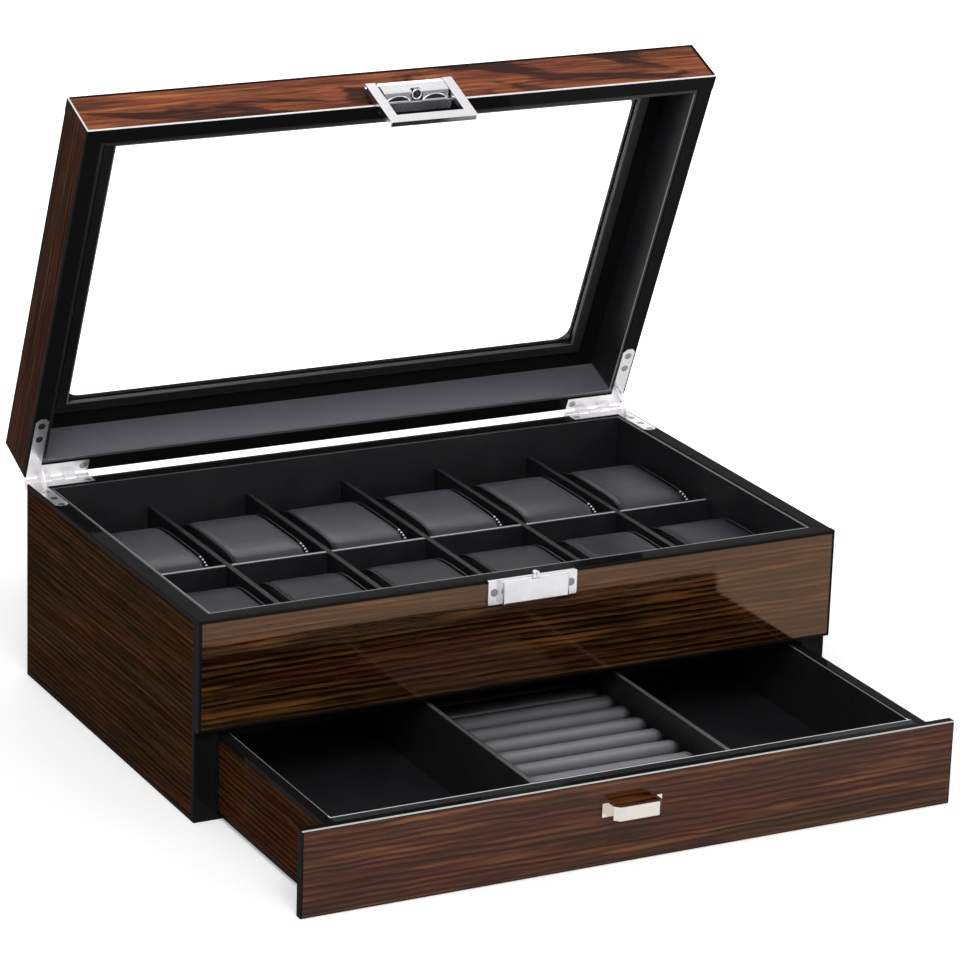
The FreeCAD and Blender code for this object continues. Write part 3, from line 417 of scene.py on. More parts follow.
veneer = {
    "blackLacquer": (0.0065, 0.0065, 0.0070),
    "edgeCoat": 0.10,
    "coatRough": 0.03,
    "coatIor": 1.5,
    "rough": {"shiny": (0.03, 0.06), "dull": (0.34, 0.46)},
    "relief": (0.05, 0.2 * mm),
    "arrisWidth": 0.55 * mm,
    # how far the veneer runs on past a side that has no border
    "past": 10 * mm,
    # each board is cut from another part of the sheet
    "sheetStep": (1.7, 0.83, 0),
    "usual": {"band": 2.0, "coat": 0.07, "shine": 0.0, "glow": (1.0, 0.6, 0.4), "bright": 1.0, "red": 0.4,
              "waver": 2.0, "flame": 0.1, "lines": 0.6, "figure": 0.0, "ends": None,
              "openLow": (0, 0, 0), "openHigh": (0, 0, 0)},
    "boards": {
        "side_wall_left": {"face": (0, -1), "coat": 0.02, "bright": 1.2, "red": 0.2, "lines": 0.30},
        "side_wall_right": {"face": (0, 1), "coat": 0.2, "bright": 1.2, "red": 0.2, "lines": 0.30},
        "back_wall": {"face": (1, 1), "coat": 0.2, "shine": 0.4},
        "upper_front_panel": {"face": (1, -1), "band": 1.5, "coat": 0.25, "shine": 0.9,
                              "glow": (1.0, 0.55, 0.30), "bright": 0.95, "red": 0.35, "waver": 1.8,
                              "flame": 1.0, "figure": 0.10},
        "lid_rail_front": {"face": (1, -1), "coat": 0.25, "bright": 5.6, "red": 1.4, "waver": 5.0,
                           "flame": 0.5, "lines": 0.10, "figure": 0.40, "ends": "lid_rail_left",
                           "openLow": (1, 0, 1)},
        "lid_rail_left": {"face": (0, -1), "coat": 0.06, "bright": 1.3, "red": 0.6, "lines": 0.3,
                          "openLow": (0, 1, 0), "openHigh": (0, 1, 0)},
        "lid_rail_right": {"face": (0, 1), "coat": 0.2, "bright": 1.3, "red": 0.6, "lines": 0.3,
                           "openLow": (0, 1, 0), "openHigh": (0, 1, 0)},
        "lid_rail_back": {"face": (1, 1), "coat": 0.2, "shine": 0.3, "bright": 1.3, "red": 0.6},
        "lid_top_frame": {"face": (2, 1), "coat": 0.2, "shine": 0.3, "bright": 1.6, "red": 0.6},
        "drawer_front": {"face": (1, -1), "band": 0.7, "coat": 0.15, "shine": 0.35,
                         "glow": (1.0, 0.55, 0.45), "bright": 1.2, "red": 0.8, "waver": 2.6,
                         "flame": 1.0, "lines": 0.52, "figure": 0.06},
        "drawer_side_left": {"face": (0, -1), "coat": 0.02, "bright": 1.4, "red": 0.4, "lines": 0.3},
        "drawer_side_right": {"face": (0, 1), "coat": 0.2, "bright": 1.4, "red": 0.4, "lines": 0.3},
    },
    # painted highlights on front corners that catch the light, along the top or the bottom of a board, and how
    # pale they are painted
    "paintedArrisHighlights": {"drawer_front": ("high", 0.50), "lid_rail_front": ("low", 0.85)},
}


def boardOf(node):
    return {**veneer["usual"], **veneer["boards"][node]}


def veneerGrain(tree, node, place):
    board, parts = boardOf(node), partsOf(tree, place)
    axis = board["face"][0]
    along, across = 1 if axis == 0 else 0, 1 if axis == 2 else 2
    flat = put(tree, "CombineXYZ", {0: parts[along], 1: parts[across]}).outputs[0]
    order = list(veneer["boards"]).index(node)
    flat = vectorMaths(tree, "ADD", flat, [step * order for step in veneer["sheetStep"]])
    return useGroup(tree, grainGroup, Place=flat, Waver=board["waver"] * mm, Bright=board["bright"],
                    Redness=board["red"], Flame=board["flame"], Lines=board["lines"],
                    Figure=board["figure"])


def veneerEnds(tree, place, low, high, sideName, colour):
    # the side's veneer runs on across the ends of a front rail
    parts = partsOf(tree, place)
    atEnd = maths(tree, "GREATER_THAN", maths(tree, "ABSOLUTE", parts[0]), high.x - border["onFace"])
    fromMiddle = maths(tree, "ABSOLUTE", maths(tree, "SUBTRACT", parts[2], (low.z + high.z) / 2))
    clear = maths(tree, "LESS_THAN", fromMiddle, (high.z - low.z) / 2 - boardOf(sideName)["band"] * mm)
    grain = veneerGrain(tree, sideName, place)
    return blendColour(tree, maths(tree, "MULTIPLY", atEnd, clear), colour, grain["Colour"])


def paintArrisHighlight(tree, node, place, low, high, colour):
    # a painted highlight: a pale line along a front corner, and also down the left end where the veneer runs on
    side, highlightPaleness = veneer["paintedArrisHighlights"][node]
    width, far = veneer["arrisWidth"], Vector((veneer["past"], 0, 0))
    line = useGroup(tree, arrisGroup, Place=place, Low=low - far, High=high + far,
                    Top=(high if side == "high" else low).z, To=1.0, Depth=width)["Line"]
    parts = partsOf(tree, place)
    if boardOf(node)["ends"]:
        line = maths(tree, "MAXIMUM", line, maths(tree, "LESS_THAN", parts[0], low.x + width))
    front = maths(tree, "LESS_THAN", parts[1], low.y + width)
    return blendColour(tree, maths(tree, "MULTIPLY", line, front), colour, [highlightPaleness] * 3)


def veneerMaterial(node):
    board = boardOf(node)
    material, tree, shader = newMaterial(
        f"veneer_{node}", Coat_Roughness=veneer["coatRough"], Coat_IOR=veneer["coatIor"],
        Specular_Tint=(*board["glow"], 1), Specular_IOR_Level=board["shine"])
    place = placeOf(tree, bodyOf[node])
    low, high = shutBox(node)
    axis, side = board["face"]
    openLow, openHigh = (veneer["past"] * Vector(board[key]) for key in ("openLow", "openHigh"))
    field = useGroup(tree, bandGroup, Place=place, Low=low - openLow, High=high + openHigh,
                     FaceAxis=[float(axis == number) for number in range(3)],
                     FacePlane=(low if side < 0 else high)[axis], Band=board["band"] * mm)["Field"]
    grain = veneerGrain(tree, node, place)
    colour = blendColour(tree, field, veneer["blackLacquer"], grain["Colour"])
    if board["ends"]:
        colour = veneerEnds(tree, place, low, high, board["ends"], colour)
    # painted highlight along the lit front corner
    if node in veneer["paintedArrisHighlights"]:
        colour = paintArrisHighlight(tree, node, place, low, high, colour)
    coat = span(tree, field, (0.0, 1.0), (veneer["edgeCoat"], board["coat"]))
    tree.links.new(coat, shader.inputs["Coat Weight"])
    if board["shine"]:
        # only the veneer shines warmly, not its black border
        tree.links.new(maths(tree, "MULTIPLY", field, board["shine"]), shader.inputs["Specular IOR Level"])
    rough = veneer["rough"]["shiny" if board["shine"] else "dull"]
    finishWith(tree, shader, colour, place, rough, grain["Height"], veneer["relief"])
    return material


for node in veneer["boards"]:
    dress(node, veneerMaterial(node))
print("veneered boards dressed")

# plain black boards

blackBoards = {
    "clouds": {"scale": 30.0, "detail": 3.0, "colours": ((0.006, 0.006, 0.0065), (0.009, 0.009, 0.0095))},
    "rough": (0.3, 0.45),
    "nodes": ["tray_front_wall", "tray_board", "bottom_board", "bay_side_boards", "drawer_back",
              "drawer_bottom"],
}


def blackLacquerMaterial():
    material, tree, shader = newMaterial(
        "blackLacquer", Coat_Weight=0.12, Coat_Roughness=0.08, Specular_IOR_Level=0.0)
    place = ownPlace(tree)
    finishWith(tree, shader, clouded(tree, place, **blackBoards["clouds"]), place, blackBoards["rough"])
    return material


blackLacquer = blackLacquerMaterial()
for node in blackBoards["nodes"]:
    dress(node, blackLacquer)

# leatherette linings and dividers, with painted highlights along their lit edges

linings = {
    "field": (0.0080, 0.0080, 0.0094),
    "mottle": (0.75, 1.4),
    "highlightTint": (1, 1, 1.03),
    "grainScale": 1100.0,
    "rough": (0.38, 0.52),
    "relief": (0.22, 0.3 * mm),
    "nearZone": 3.0 * mm,
    # the painted highlight along a lit edge lies between from and to, counted in from the sides; line is how pale
    # it is painted, and near how many times paler its front stretch is painted
    "usual": {"inset": 0.0, "from": 0.0, "to": 0.0, "under": False, "back": None, "near": 1.5,
              "dim": 1.0, "shine": 0.4, "lit": None},
    "pieces": {
        "drawer_inner_front": {"back": 0.7, "line": 0.62, "near": 1.0, "dim": 0.6, "shine": 0.1},
        "tray_liner": {"inset": 2.0, "from": -0.5, "line": 0.19},
        "drawer_liner": {"inset": 1.0, "from": -1.0, "line": 0.17, "near": 4.5},
        "lid_liner": {"inset": 2.0, "from": -0.7, "line": 0.22, "under": True, "lit": 11.0, "near": 0.1},
        "glass_bead": {"inset": 6.0, "from": -0.7, "line": 0.16, "under": True, "dim": 0.4, "near": 0.3},
        "long_divider": {"from": 1.0, "to": 3.0, "line": 0.30},
        "cross_divider": {"from": 1.0, "to": 3.0, "line": 0.024, "near": 1.0, "shine": 0.1},
        "drawer_divider": {"from": 0.5, "to": 3.0, "line": 0.07},
    },
    "nodes": ["tray_liner", "long_divider", *(f"cross_divider_{number}" for number in range(1, 6)),
              "drawer_liner", "drawer_divider_left", "drawer_divider_right", "lid_liner", "glass_bead",
              "drawer_inner_front"],
}


def paintedEdgeHighlight(tree, place, low, high, kind):
    # where the painted highlight of a lit edge shows: along the back edge of the top, or round the sides
    if kind["back"]:
        backEdge = high.y - kind["back"] * mm
        return useGroup(tree, arrisGroup, Place=place, Low=(-1, backEdge, 0), High=(1, 1, 1), Top=high.z,
                        To=1.0)["Line"]
    inset = Vector((kind["inset"] * mm, kind["inset"] * mm, 0))
    top = low.z if kind["under"] else high.z
    return useGroup(tree, arrisGroup, Place=place, Low=low + inset, High=high - inset, Top=top,
                    From=kind["from"] * mm, To=kind["to"] * mm)["Line"]


def liningMaterial(node):
    kind = next(piece for key, piece in linings["pieces"].items() if node.startswith(key))
    kind = {**linings["usual"], **kind}
    material, tree, shader = newMaterial(f"lining_{node}", Specular_IOR_Level=kind["shine"])
    place = placeOf(tree, bodyOf[node])
    parts = partsOf(tree, place)
    low, high = shutBox(node)
    line = paintedEdgeHighlight(tree, place, low, high, kind)
    hide = useGroup(tree, hideGroup, Place=place, Scale=linings["grainScale"])
    field = mottled(tree, hide, [c * kind["dim"] for c in linings["field"]], linings["mottle"])
    if kind["lit"]:
        # painted light: the rear wall of the lid's lining, which faces the light when the lid is open, is painted
        # paler
        rear = maths(tree, "GREATER_THAN", parts[1], high.y - linings["nearZone"])
        field = blendColour(tree, rear, field, [c * kind["lit"] for c in linings["field"]])
        notLeft = maths(tree, "GREATER_THAN", parts[0], low.x + linings["nearZone"])
        line = maths(tree, "MULTIPLY", line, notLeft)
    front = maths(tree, "LESS_THAN", parts[1], low.y + linings["nearZone"])
    edge = [kind["line"] * share for share in linings["highlightTint"]]
    edge = blendColour(tree, front, edge, [kind["near"] * c for c in edge])
    colour = blendColour(tree, line, field, edge)
    finishWith(tree, shader, colour, place, linings["rough"], hide["Height"], linings["relief"])
    return material


for node in linings["nodes"]:
    dress(node, liningMaterial(node))
print("linings dressed")

# bright metal

chrome = {
    "finishes": {
        "bright": {"tint": (0.84, 0.83, 0.85), "rough": (0.06, 0.17)},
        "warm": {"tint": (0.84, 0.79, 0.73), "rough": (0.05, 0.12)},
        "satin": {"tint": (0.92, 0.91, 0.92), "rough": (0.30, 0.44)},
        "screw": {"tint": (0.34, 0.34, 0.36), "rough": (0.20, 0.32)},
    },
    "nodes": {
        "bright": ["latch_catch", "release_tab", "latch_keeper", "latch_ring", "latch_pin"],
        "warm": ["drawer_handle"],
        "satin": ["hinge_leaf_base_left", "hinge_leaf_base_right", "hinge_leaf_lid_left",
                  "hinge_leaf_lid_right", "hinge_pins"],
        "screw": ["hinge_screws_base", "hinge_screws_lid", "latch_screws_base", "latch_screws_lid"],
    },
    "wear": {"scale": 210.0, "detail": 4.0},
    "wornShare": 0.86,
    "relief": (0.03, 0.1 * mm),
}


def chromeMaterial(name, tint, rough):
    material, tree, shader = newMaterial(f"chrome_{name}", Metallic=1.0)
    place = ownPlace(tree)
    wear = noiseAt(tree, place, **chrome["wear"])
    colour = blendColour(tree, wear, [chrome["wornShare"] * c for c in tint], tint)
    finishWith(tree, shader, colour, place, rough, wear, chrome["relief"])
    return material


for name, finish in chrome["finishes"].items():
    plated = chromeMaterial(name, **finish)
    for node in chrome["nodes"][name]:
        dress(node, plated)

# window glass: clear, and lets the lamps through

glass = {
    "ior": 1.45,
    "waves": {"scale": 9.0, "detail": 1.0},
    "relief": (0.01, 0.5 * mm),
    "shadow": (0.94, 0.96, 0.95),
}


def glassMaterial():
    material, tree, shader = newMaterial(
        "windowPane", Base_Color=(1, 1, 1, 1), Roughness=0.0, IOR=glass["ior"], Transmission_Weight=1.0)
    addRelief(tree, shader, noiseAt(tree, ownPlace(tree), **glass["waves"]), glass["relief"])
    clear = put(tree, "BsdfTransparent", {"Color": glass["shadow"]})
    shadowRay = put(tree, "LightPath").outputs["Is Shadow Ray"]
    mixed = put(tree, "MixShader", {0: shadowRay, 1: shader.outputs[0], 2: clear.outputs[0]})
    tree.links.new(mixed.outputs[0], tree.nodes["Material Output"].inputs["Surface"])
    return material


dress("window_glass", glassMaterial())
print("metal and glass dressed")


# helpers for pieces

tubeSides = 8


def addObject(name, data):
    item = bpy.data.objects.new(name, data)
    bpy.context.scene.collection.objects.link(item)
    return item


def meshObject(name, mesh, body, material, *replaced):
    piece = addObject(name, mesh)
    mesh.transform(carriers[body])
    mesh.materials.append(material)
    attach(piece, body)
    if replaced:
        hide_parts(*replaced)
    return piece


def meshFrom(name, shape):
    bmesh.ops.recalc_face_normals(shape, faces=shape.faces)
    mesh = bpy.data.meshes.new(name)
    shape.to_mesh(mesh)
    shape.free()
    return mesh


def smooth(mesh, angle):
    for face in mesh.polygons:
        face.use_smooth = True
    mesh.set_sharp_from_angle(angle=math.radians(angle))


def addSkin(shape, rings, closed=False):
    # faces from ring to ring, with the last joined to the first or both ends capped
    faces = []
    for near, far in zip(rings, rings[1:] + rings[:1] if closed else rings[1:]):
        for k in range(len(near)):
            following = (k + 1) % len(near)
            faces.append(shape.faces.new((near[k], near[following], far[following], far[k])))
    if not closed:
        faces += [shape.faces.new(list(reversed(rings[0]))), shape.faces.new(rings[-1])]
    return faces


def addTube(shape, path, radius, closed):
    # a round bar along the points of the path
    turns = [2 * math.pi * step / tubeSides for step in range(tubeSides)]
    rings, first = [], None
    for k, point in enumerate(path):
        before = path[k - 1] if closed or k else point
        after = path[(k + 1) % len(path)] if closed or k + 1 < len(path) else point
        along = (after - before).normalized()
        first = along.orthogonal() if first is None else first - along * along.dot(first)
        first = first.normalized()
        second = along.cross(first)
        around = [first * math.cos(turn) + second * math.sin(turn) for turn in turns]
        rings.append([shape.verts.new(point + direction * radius) for direction in around])
    return addSkin(shape, rings, closed)


def addSlab(shape, outline, thick, slot):
    # a thin closed plate: the outline and its copy moved by thick
    near = [shape.verts.new(point) for point in outline]
    far = [shape.verts.new(point + thick) for point in outline]
    faces = [shape.faces.new(near), shape.faces.new(list(reversed(far)))]
    for k in range(len(near)):
        following = (k + 1) % len(near)
        faces.append(shape.faces.new((near[k], far[k], far[following], near[following])))
    for face in faces:
        face.material_index = slot


def corners(across, along):
    # the four corners of a rectangle, in order
    return [(across[0], along[0]), (across[1], along[0]), (across[1], along[1]), (across[0], along[1])]


# fine trim under the latch keeper's shroud: a loop for the release tab, bowed wires over dark slabs that paint
# the shade in the recesses on both sides of it, and a foot plate that wraps under the lid's edge

latchTrim = {
    "middle": 1.4 * mm,
    # the shroud's front edge and its rear edge, as depth and height
    "bandFront": (-111.0 * mm, 103.0 * mm),
    "bandBack": (-106.15 * mm, 101.35 * mm),
    "loopSteps": 28,
    "loopDown": 1.2 * mm,
    "loopRadius": 2.4 * mm,
    "loopWire": 0.35 * mm,
    "loopLift": 0.2 * mm,
    "wire": 0.30 * mm,
    "wireLift": 0.7,
    "wireFrom": 3.4 * mm,
    "wireTo": 16.4 * mm,
    "wireDown": 4.3 * mm,
    "bow": 2.7 * mm,
    "bowSteps": 12,
    "bowFullness": 0.7,
    "recessLift": 0.1 * mm,
    "plateTo": 17.2 * mm,
    "plateThick": 0.2 * mm,
    "footBack": -100.9 * mm,
    "footHeight": (101.12 * mm, 101.31 * mm),
    "footTo": 19.5 * mm,
    "notch": {"half": 2.3 * mm, "height": (102.0 * mm, 105.9 * mm), "face": -107.5 * mm},
    "creaseAngle": 50,
    # painted shade: the backing and foot plates are chrome dimmed to look shaded under the shroud
    "shadedPlating": {"tint": (0.40, 0.40, 0.42), "rough": (0.15, 0.30)},
    "shadow": {"scale": 300.0, "detail": 3.0, "colours": ((0.006, 0.006, 0.007), (0.014, 0.014, 0.016))},
    # places among the trim's materials, after the bright metal
    "slots": {"shadow": 1, "shadedPlating": 2},
}


def latchTrimMesh():
    shape = bmesh.new()
    trim, slots = latchTrim, latchTrim["slots"]
    first, last = Vector((0, *trim["bandFront"])), Vector((0, *trim["bandBack"]))
    down = (last - first).normalized()
    outward = Vector((1, 0, 0)).cross(down)
    outward *= -math.copysign(1, outward.z)

    def onBand(x, v, lift=0.0):
        return Vector((trim["middle"] + x, 0, 0)) + first + down * v + outward * lift

    radius, loop = trim["loopRadius"], []
    for k in range(trim["loopSteps"]):
        turn = 2 * math.pi * k / trim["loopSteps"]
        away = trim["loopDown"] + radius * math.sin(turn)
        loop.append(onBand(radius * math.cos(turn), away, trim["loopLift"]))
    addTube(shape, loop, trim["loopWire"], True)
    back = -outward * trim["plateThick"]
    for side in (-1, 1):
        straight, bowed = [], []
        for k in range(trim["bowSteps"] + 1):
            x = side * (trim["wireFrom"] + k / trim["bowSteps"] * (trim["wireTo"] - trim["wireFrom"]))
            rise = trim["bow"] * math.sin(math.pi * k / trim["bowSteps"]) ** trim["bowFullness"]
            straight.append((x, trim["wireDown"]))
            bowed.append((x, trim["wireDown"] - rise))
        lift = trim["wire"] * trim["wireLift"]
        for line in (straight, bowed):
            addTube(shape, [onBand(*place, lift) for place in line], trim["wire"], False)
        recess = straight + list(reversed(bowed[1:-1]))
        addSlab(shape, [onBand(*place, trim["recessLift"]) for place in recess], back, slots["shadow"])
        plate = corners((side * trim["wireFrom"], side * trim["plateTo"]), (0, (last - first).length))
        addSlab(shape, [onBand(*place) for place in plate], back, slots["shadedPlating"])
    low, high = trim["footHeight"]
    sides = (trim["middle"] - trim["footTo"], trim["middle"] + trim["footTo"])
    foot = [Vector((x, y, low)) for x, y in corners(sides, (last.y, trim["footBack"]))]
    addSlab(shape, foot, Vector((0, 0, high - low)), slots["shadedPlating"])
    # a dark slab paints the shade inside the notch
    notch = trim["notch"]
    sides = (trim["middle"] - notch["half"], trim["middle"] + notch["half"])
    dark = [Vector((x, notch["face"], z)) for x, z in corners(sides, notch["height"])]
    addSlab(shape, dark, Vector((0, -trim["plateThick"], 0)), slots["shadow"])
    return meshFrom("latchTrim", shape)


def shadowMaterial():
    material, tree, shader = newMaterial("latchShadow", Roughness=0.5, Specular_IOR_Level=0.2)
    tree.links.new(clouded(tree, ownPlace(tree), **latchTrim["shadow"]), shader.inputs["Base Color"])
    return material


def makeLatchTrim():
    mesh = latchTrimMesh()
    smooth(mesh, latchTrim["creaseAngle"])
    piece = meshObject("latch_trim", mesh, "lid", bpy.data.materials["chrome_bright"])
    mesh.materials.append(shadowMaterial())
    mesh.materials.append(chromeMaterial("plate", **latchTrim["shadedPlating"]))


makeLatchTrim()
print("latch trim made")

# cloth that the pillows and the rolls share

cloth = {"mottle": (0.85, 1.15), "relief": (0.3, 0.3 * mm), "creviceSamples": 8}


def softMaterial(name, colour, grainScale, shine, rough):
    material, tree, shader = newMaterial(name, Specular_IOR_Level=shine)
    place = ownPlace(tree)
    hide = useGroup(tree, hideGroup, Place=place, Scale=grainScale)
    field = mottled(tree, hide, colour, cloth["mottle"])
    finishWith(tree, shader, field, place, rough, hide["Height"], cloth["relief"])
    return material


def darken(tree, share):
    # scales the colour that the shader already has
    colour = tree.nodes["Principled BSDF"].inputs["Base Color"]
    tree.links.new(scaled(tree, colour.links[0].from_socket, share), colour)


def shadeCrevices(material, reach, power):
    # cloth is darker where other pieces stand close to it
    tree = material.node_tree
    clear = put(tree, "AmbientOcclusion", {"Distance": reach}, samples=cloth["creviceSamples"]).outputs["AO"]
    darken(tree, maths(tree, "POWER", clear, power))


# watch pillows: round-ended blocks whose ends are drawn in by a piped seam, puffed by a short simulation

pillow = {
    "count": 12,
    # the form before it is puffed
    "sections": 24,
    "around": 56,
    "shrink": 1.2 * mm,
    "squareness": 4.6,
    "endZone": 2.4 * mm,
    "endDrop": 1.2 * mm,
    # the puffing, with the cover held at its seams and its foot
    "voxel": 2.6 * mm,
    "pressure": 3.0,
    "frames": 14,
    "quality": 6,
    "seamInset": 3.2 * mm,
    "heldBand": 1.5 * mm,
    "heldFoot": 2.0 * mm,
    "cap": 1.6 * mm,
    # the piping near each end, and the pale marks painted as glints on the right one, in degrees round it
    "pipeRadius": 0.6 * mm,
    "pipeShare": 0.45,
    "pipeInset": 1.4 * mm,
    "pipeSteps": 144,
    "glintFrom": 112.0,
    "glintTo": 140.0,
    "glintEvery": 3,
    # how they stand and look
    "seed": 4,
    "turn": 0.8,
    "endBlack": 2.1 * mm,
    "coverCrease": 60,
    "pipingCrease": 80,
    "crevices": (40 * mm, 1.2),
    "cloths": {
        "pillowSkin_rear": {"colour": (0.038, 0.038, 0.046), "grainScale": 1000.0, "shine": 0.25,
                            "rough": (0.32, 0.42)},
        # painted shade: the front row's cover is a darker, duller copy of the rear row's
        "pillowSkin_front_painted_shade": {"colour": (0.022, 0.022, 0.028), "grainScale": 1000.0, "shine": 0.08,
                             "rough": (0.32, 0.42)},
        "pillowEnd": {"colour": (0.008, 0.008, 0.009), "grainScale": 1000.0, "shine": 0.25,
                      "rough": (0.35, 0.45)},
        "pillowPiping": {"colour": (0.008, 0.008, 0.009), "grainScale": 1600.0, "shine": 0.15,
                         "rough": (0.35, 0.45)},
        "glintMarks": {"colour": (0.75, 0.75, 0.75), "grainScale": 2400.0, "shine": 0.4,
                         "rough": (0.3, 0.4)},
    },
}


def pillowOutline(half, high, inset, count):
    # points round a section, seen along X, starting at the front
    points = []
    for k in range(count):
        turn = 2 * math.pi * k / count
        c, s = math.cos(turn), math.sin(turn)
        power = 2 / pillow["squareness"]
        y = math.copysign(abs(c) ** power, c) * (half - inset)
        z = high / 2 + math.copysign(abs(s) ** power, s) * (high / 2 - inset)
        points.append((y, z))
    return points


def pillowMesh(size):
    shape = bmesh.new()
    shrink = pillow["shrink"]
    halfWide, halfLong, high = size.x / 2 - shrink, size.y / 2 - shrink, size.z - shrink
    rings = []
    for k in range(pillow["sections"] + 1):
        share = -1 + 2 * k / pillow["sections"]
        x = halfWide * math.sin(share * math.pi / 2)
        edge = max(0.0, (abs(x) - (halfWide - pillow["endZone"])) / pillow["endZone"])
        outline = pillowOutline(halfLong, high, pillow["endDrop"] * edge ** 2, pillow["around"])
        rings.append([shape.verts.new((x, y, z + shrink / 2)) for y, z in outline])
    addSkin(shape, rings)
    return meshFrom("pillowForm", shape)


def puffedPillow(size):
    mesh = pillowMesh(size)
    piece = addObject("pillowTrial", mesh)
    bpy.context.view_layer.objects.active = piece
    remesh = piece.modifiers.new("remesh", "REMESH")
    remesh.mode = "VOXEL"
    remesh.voxel_size = pillow["voxel"]
    bpy.ops.object.select_all(action="DESELECT")
    piece.select_set(True)
    bpy.ops.object.modifier_apply(modifier="remesh")
    start = [vertex.co.copy() for vertex in piece.data.vertices]
    pinned = piece.vertex_groups.new(name="seam")
    seam = size.x / 2 - pillow["seamInset"]
    held = [vertex.index for vertex in piece.data.vertices
            if abs(abs(vertex.co.x) - seam) < pillow["heldBand"] or vertex.co.z < pillow["heldFoot"]]
    pinned.add(held, 1.0, "REPLACE")
    puff = piece.modifiers.new("cloth", "CLOTH")
    puff.settings.use_pressure = True
    puff.settings.uniform_pressure_force = pillow["pressure"]
    puff.settings.vertex_group_mass = "seam"
    puff.settings.effector_weights.gravity = 0
    puff.settings.quality = pillow["quality"]
    for number in range(1, pillow["frames"] + 1):
        bpy.context.scene.frame_set(number)
    bpy.ops.object.modifier_apply(modifier="cloth")
    bpy.context.scene.frame_set(1)
    for vertex, first in zip(piece.data.vertices, start):
        moved = vertex.co - first
        if moved.length > pillow["cap"]:
            vertex.co = first + moved.normalized() * pillow["cap"]
    finer = piece.modifiers.new("finer", "SUBSURF")
    finer.levels = finer.render_levels = 1
    bpy.ops.object.modifier_apply(modifier="finer")
    result = piece.data
    bpy.data.objects.remove(piece)
    return result


def pipingMesh(size):
    shape = bmesh.new()
    outline = pillowOutline(size.y / 2, size.z, pillow["pipeInset"], pillow["pipeSteps"])
    for side in (-1, 1):
        x = side * (size.x / 2 - pillow["seamInset"] * pillow["pipeShare"])
        faces = addTube(shape, [Vector((x, y, z)) for y, z in outline], pillow["pipeRadius"], True)
        for number, face in enumerate(faces):
            step = number // tubeSides
            # pale marks painted as glints on a stretch of the right piping
            glinting = pillow["glintFrom"] < step / len(outline) * 360 < pillow["glintTo"]
            if side > 0 and glinting and step % pillow["glintEvery"] == 0:
                face.material_index = 1
    return meshFrom("pillowPiping", shape)


def makePillows():
    cloths = {}
    for name, kind in pillow["cloths"].items():
        cloths[name] = softMaterial(name, **kind)
        if name.startswith("pillowSkin"):
            shadeCrevices(cloths[name], *pillow["crevices"])
    low, high = shutBox("watch_pillow_1")
    size = high - low
    puffed = puffedPillow(size)
    smooth(puffed, pillow["coverCrease"])
    for face in puffed.polygons:
        if abs(face.center.x) > size.x / 2 - pillow["endBlack"]:
            face.material_index = 1
    piping = pipingMesh(size)
    smooth(piping, pillow["pipingCrease"])
    chance = random.Random(pillow["seed"])
    for number in range(1, pillow["count"] + 1):
        node = f"watch_pillow_{number}"
        low, high = shutBox(node)
        middle = Vector(((low.x + high.x) / 2, (low.y + high.y) / 2, low.z))
        turn = Matrix.Rotation(math.radians(chance.uniform(-1, 1) * pillow["turn"]), 4, "Z")
        shift = Matrix.Translation(middle) @ turn
        cover = puffed.copy()
        cover.transform(shift)
        # the front row gets the copy with painted shade
        skin = cloths["pillowSkin_rear" if middle.y > 0 else "pillowSkin_front_painted_shade"]
        piece = meshObject(f"pillow_{number}", cover, "case", skin, node)
        cover.materials.append(cloths["pillowEnd"])
        seam = piping.copy()
        seam.transform(shift)
        trim = meshObject(f"pillow_piping_{number}", seam, "case", cloths["pillowPiping"])
        seam.materials.append(cloths["glintMarks"])


makePillows()
print("pillows made")

# ring rolls: soft bars side by side, their free ends rounded off

rolls = {
    "count": 11,
    "around": 28,
    "along": 34,
    "gap": 0.5 * mm,
    "droop": 6.5 * mm,
    "roundness": 0.97,
    "taper": 0.9,
    "wrinkle": 0.25 * mm,
    "wrinkleCount": 9,
    "wrinkleWidth": 4 * mm,
    "seed": 9,
    "crease": 60,
    "plush": {"colour": (0.23, 0.23, 0.26), "grainScale": 1500.0, "shine": 0.5, "rough": (0.30, 0.40)},
    "crevices": (60 * mm, 3.0),
    "valley": {"bottom": 3.2 * mm, "top": 0.4 * mm, "darkest": 0.02},
}


def rollMesh(size):
    shape = bmesh.new()
    half, high, droop = size.y / 2, size.z, rolls["droop"]
    chance = random.Random(rolls["seed"])
    bumps = [(chance.uniform(0, size.x), chance.uniform(-0.5, 0.5)) for _ in range(rolls["wrinkleCount"])]
    rings = []
    for k in range(rolls["along"] + 1):
        x = size.x * k / rolls["along"]
        near = max(0.0, (x - (size.x - droop)) / droop)
        drop = half * (1 - math.sqrt(max(0.0, 1 - (rolls["roundness"] * near) ** 2)))
        swell = sum(math.exp(-((x - at) / rolls["wrinkleWidth"]) ** 2) * amount for at, amount in bumps)
        swell *= rolls["wrinkle"]
        wide = half - rolls["taper"] * drop
        ring = []
        for step in range(rolls["around"] + 1):
            turn = math.pi * step / rolls["around"]
            z = high - half + math.sin(turn) * (half - drop) + swell * math.sin(turn)
            ring.append(shape.verts.new((x, -math.cos(turn) * wide, z)))
        rings.append(ring + [shape.verts.new((x, wide, 0)), shape.verts.new((x, -wide, 0))])
    addSkin(shape, rings)
    return meshFrom("rollForm", shape)


def shadeValleys(material, top):
    # painted shade: the colour darkens low down between two rolls, where shade falls
    tree, valley = material.node_tree, rolls["valley"]
    depths = (top - valley["bottom"], top - valley["top"])
    darken(tree, span(tree, partsOf(tree, ownPlace(tree))[2], depths, (valley["darkest"], 1.0)))


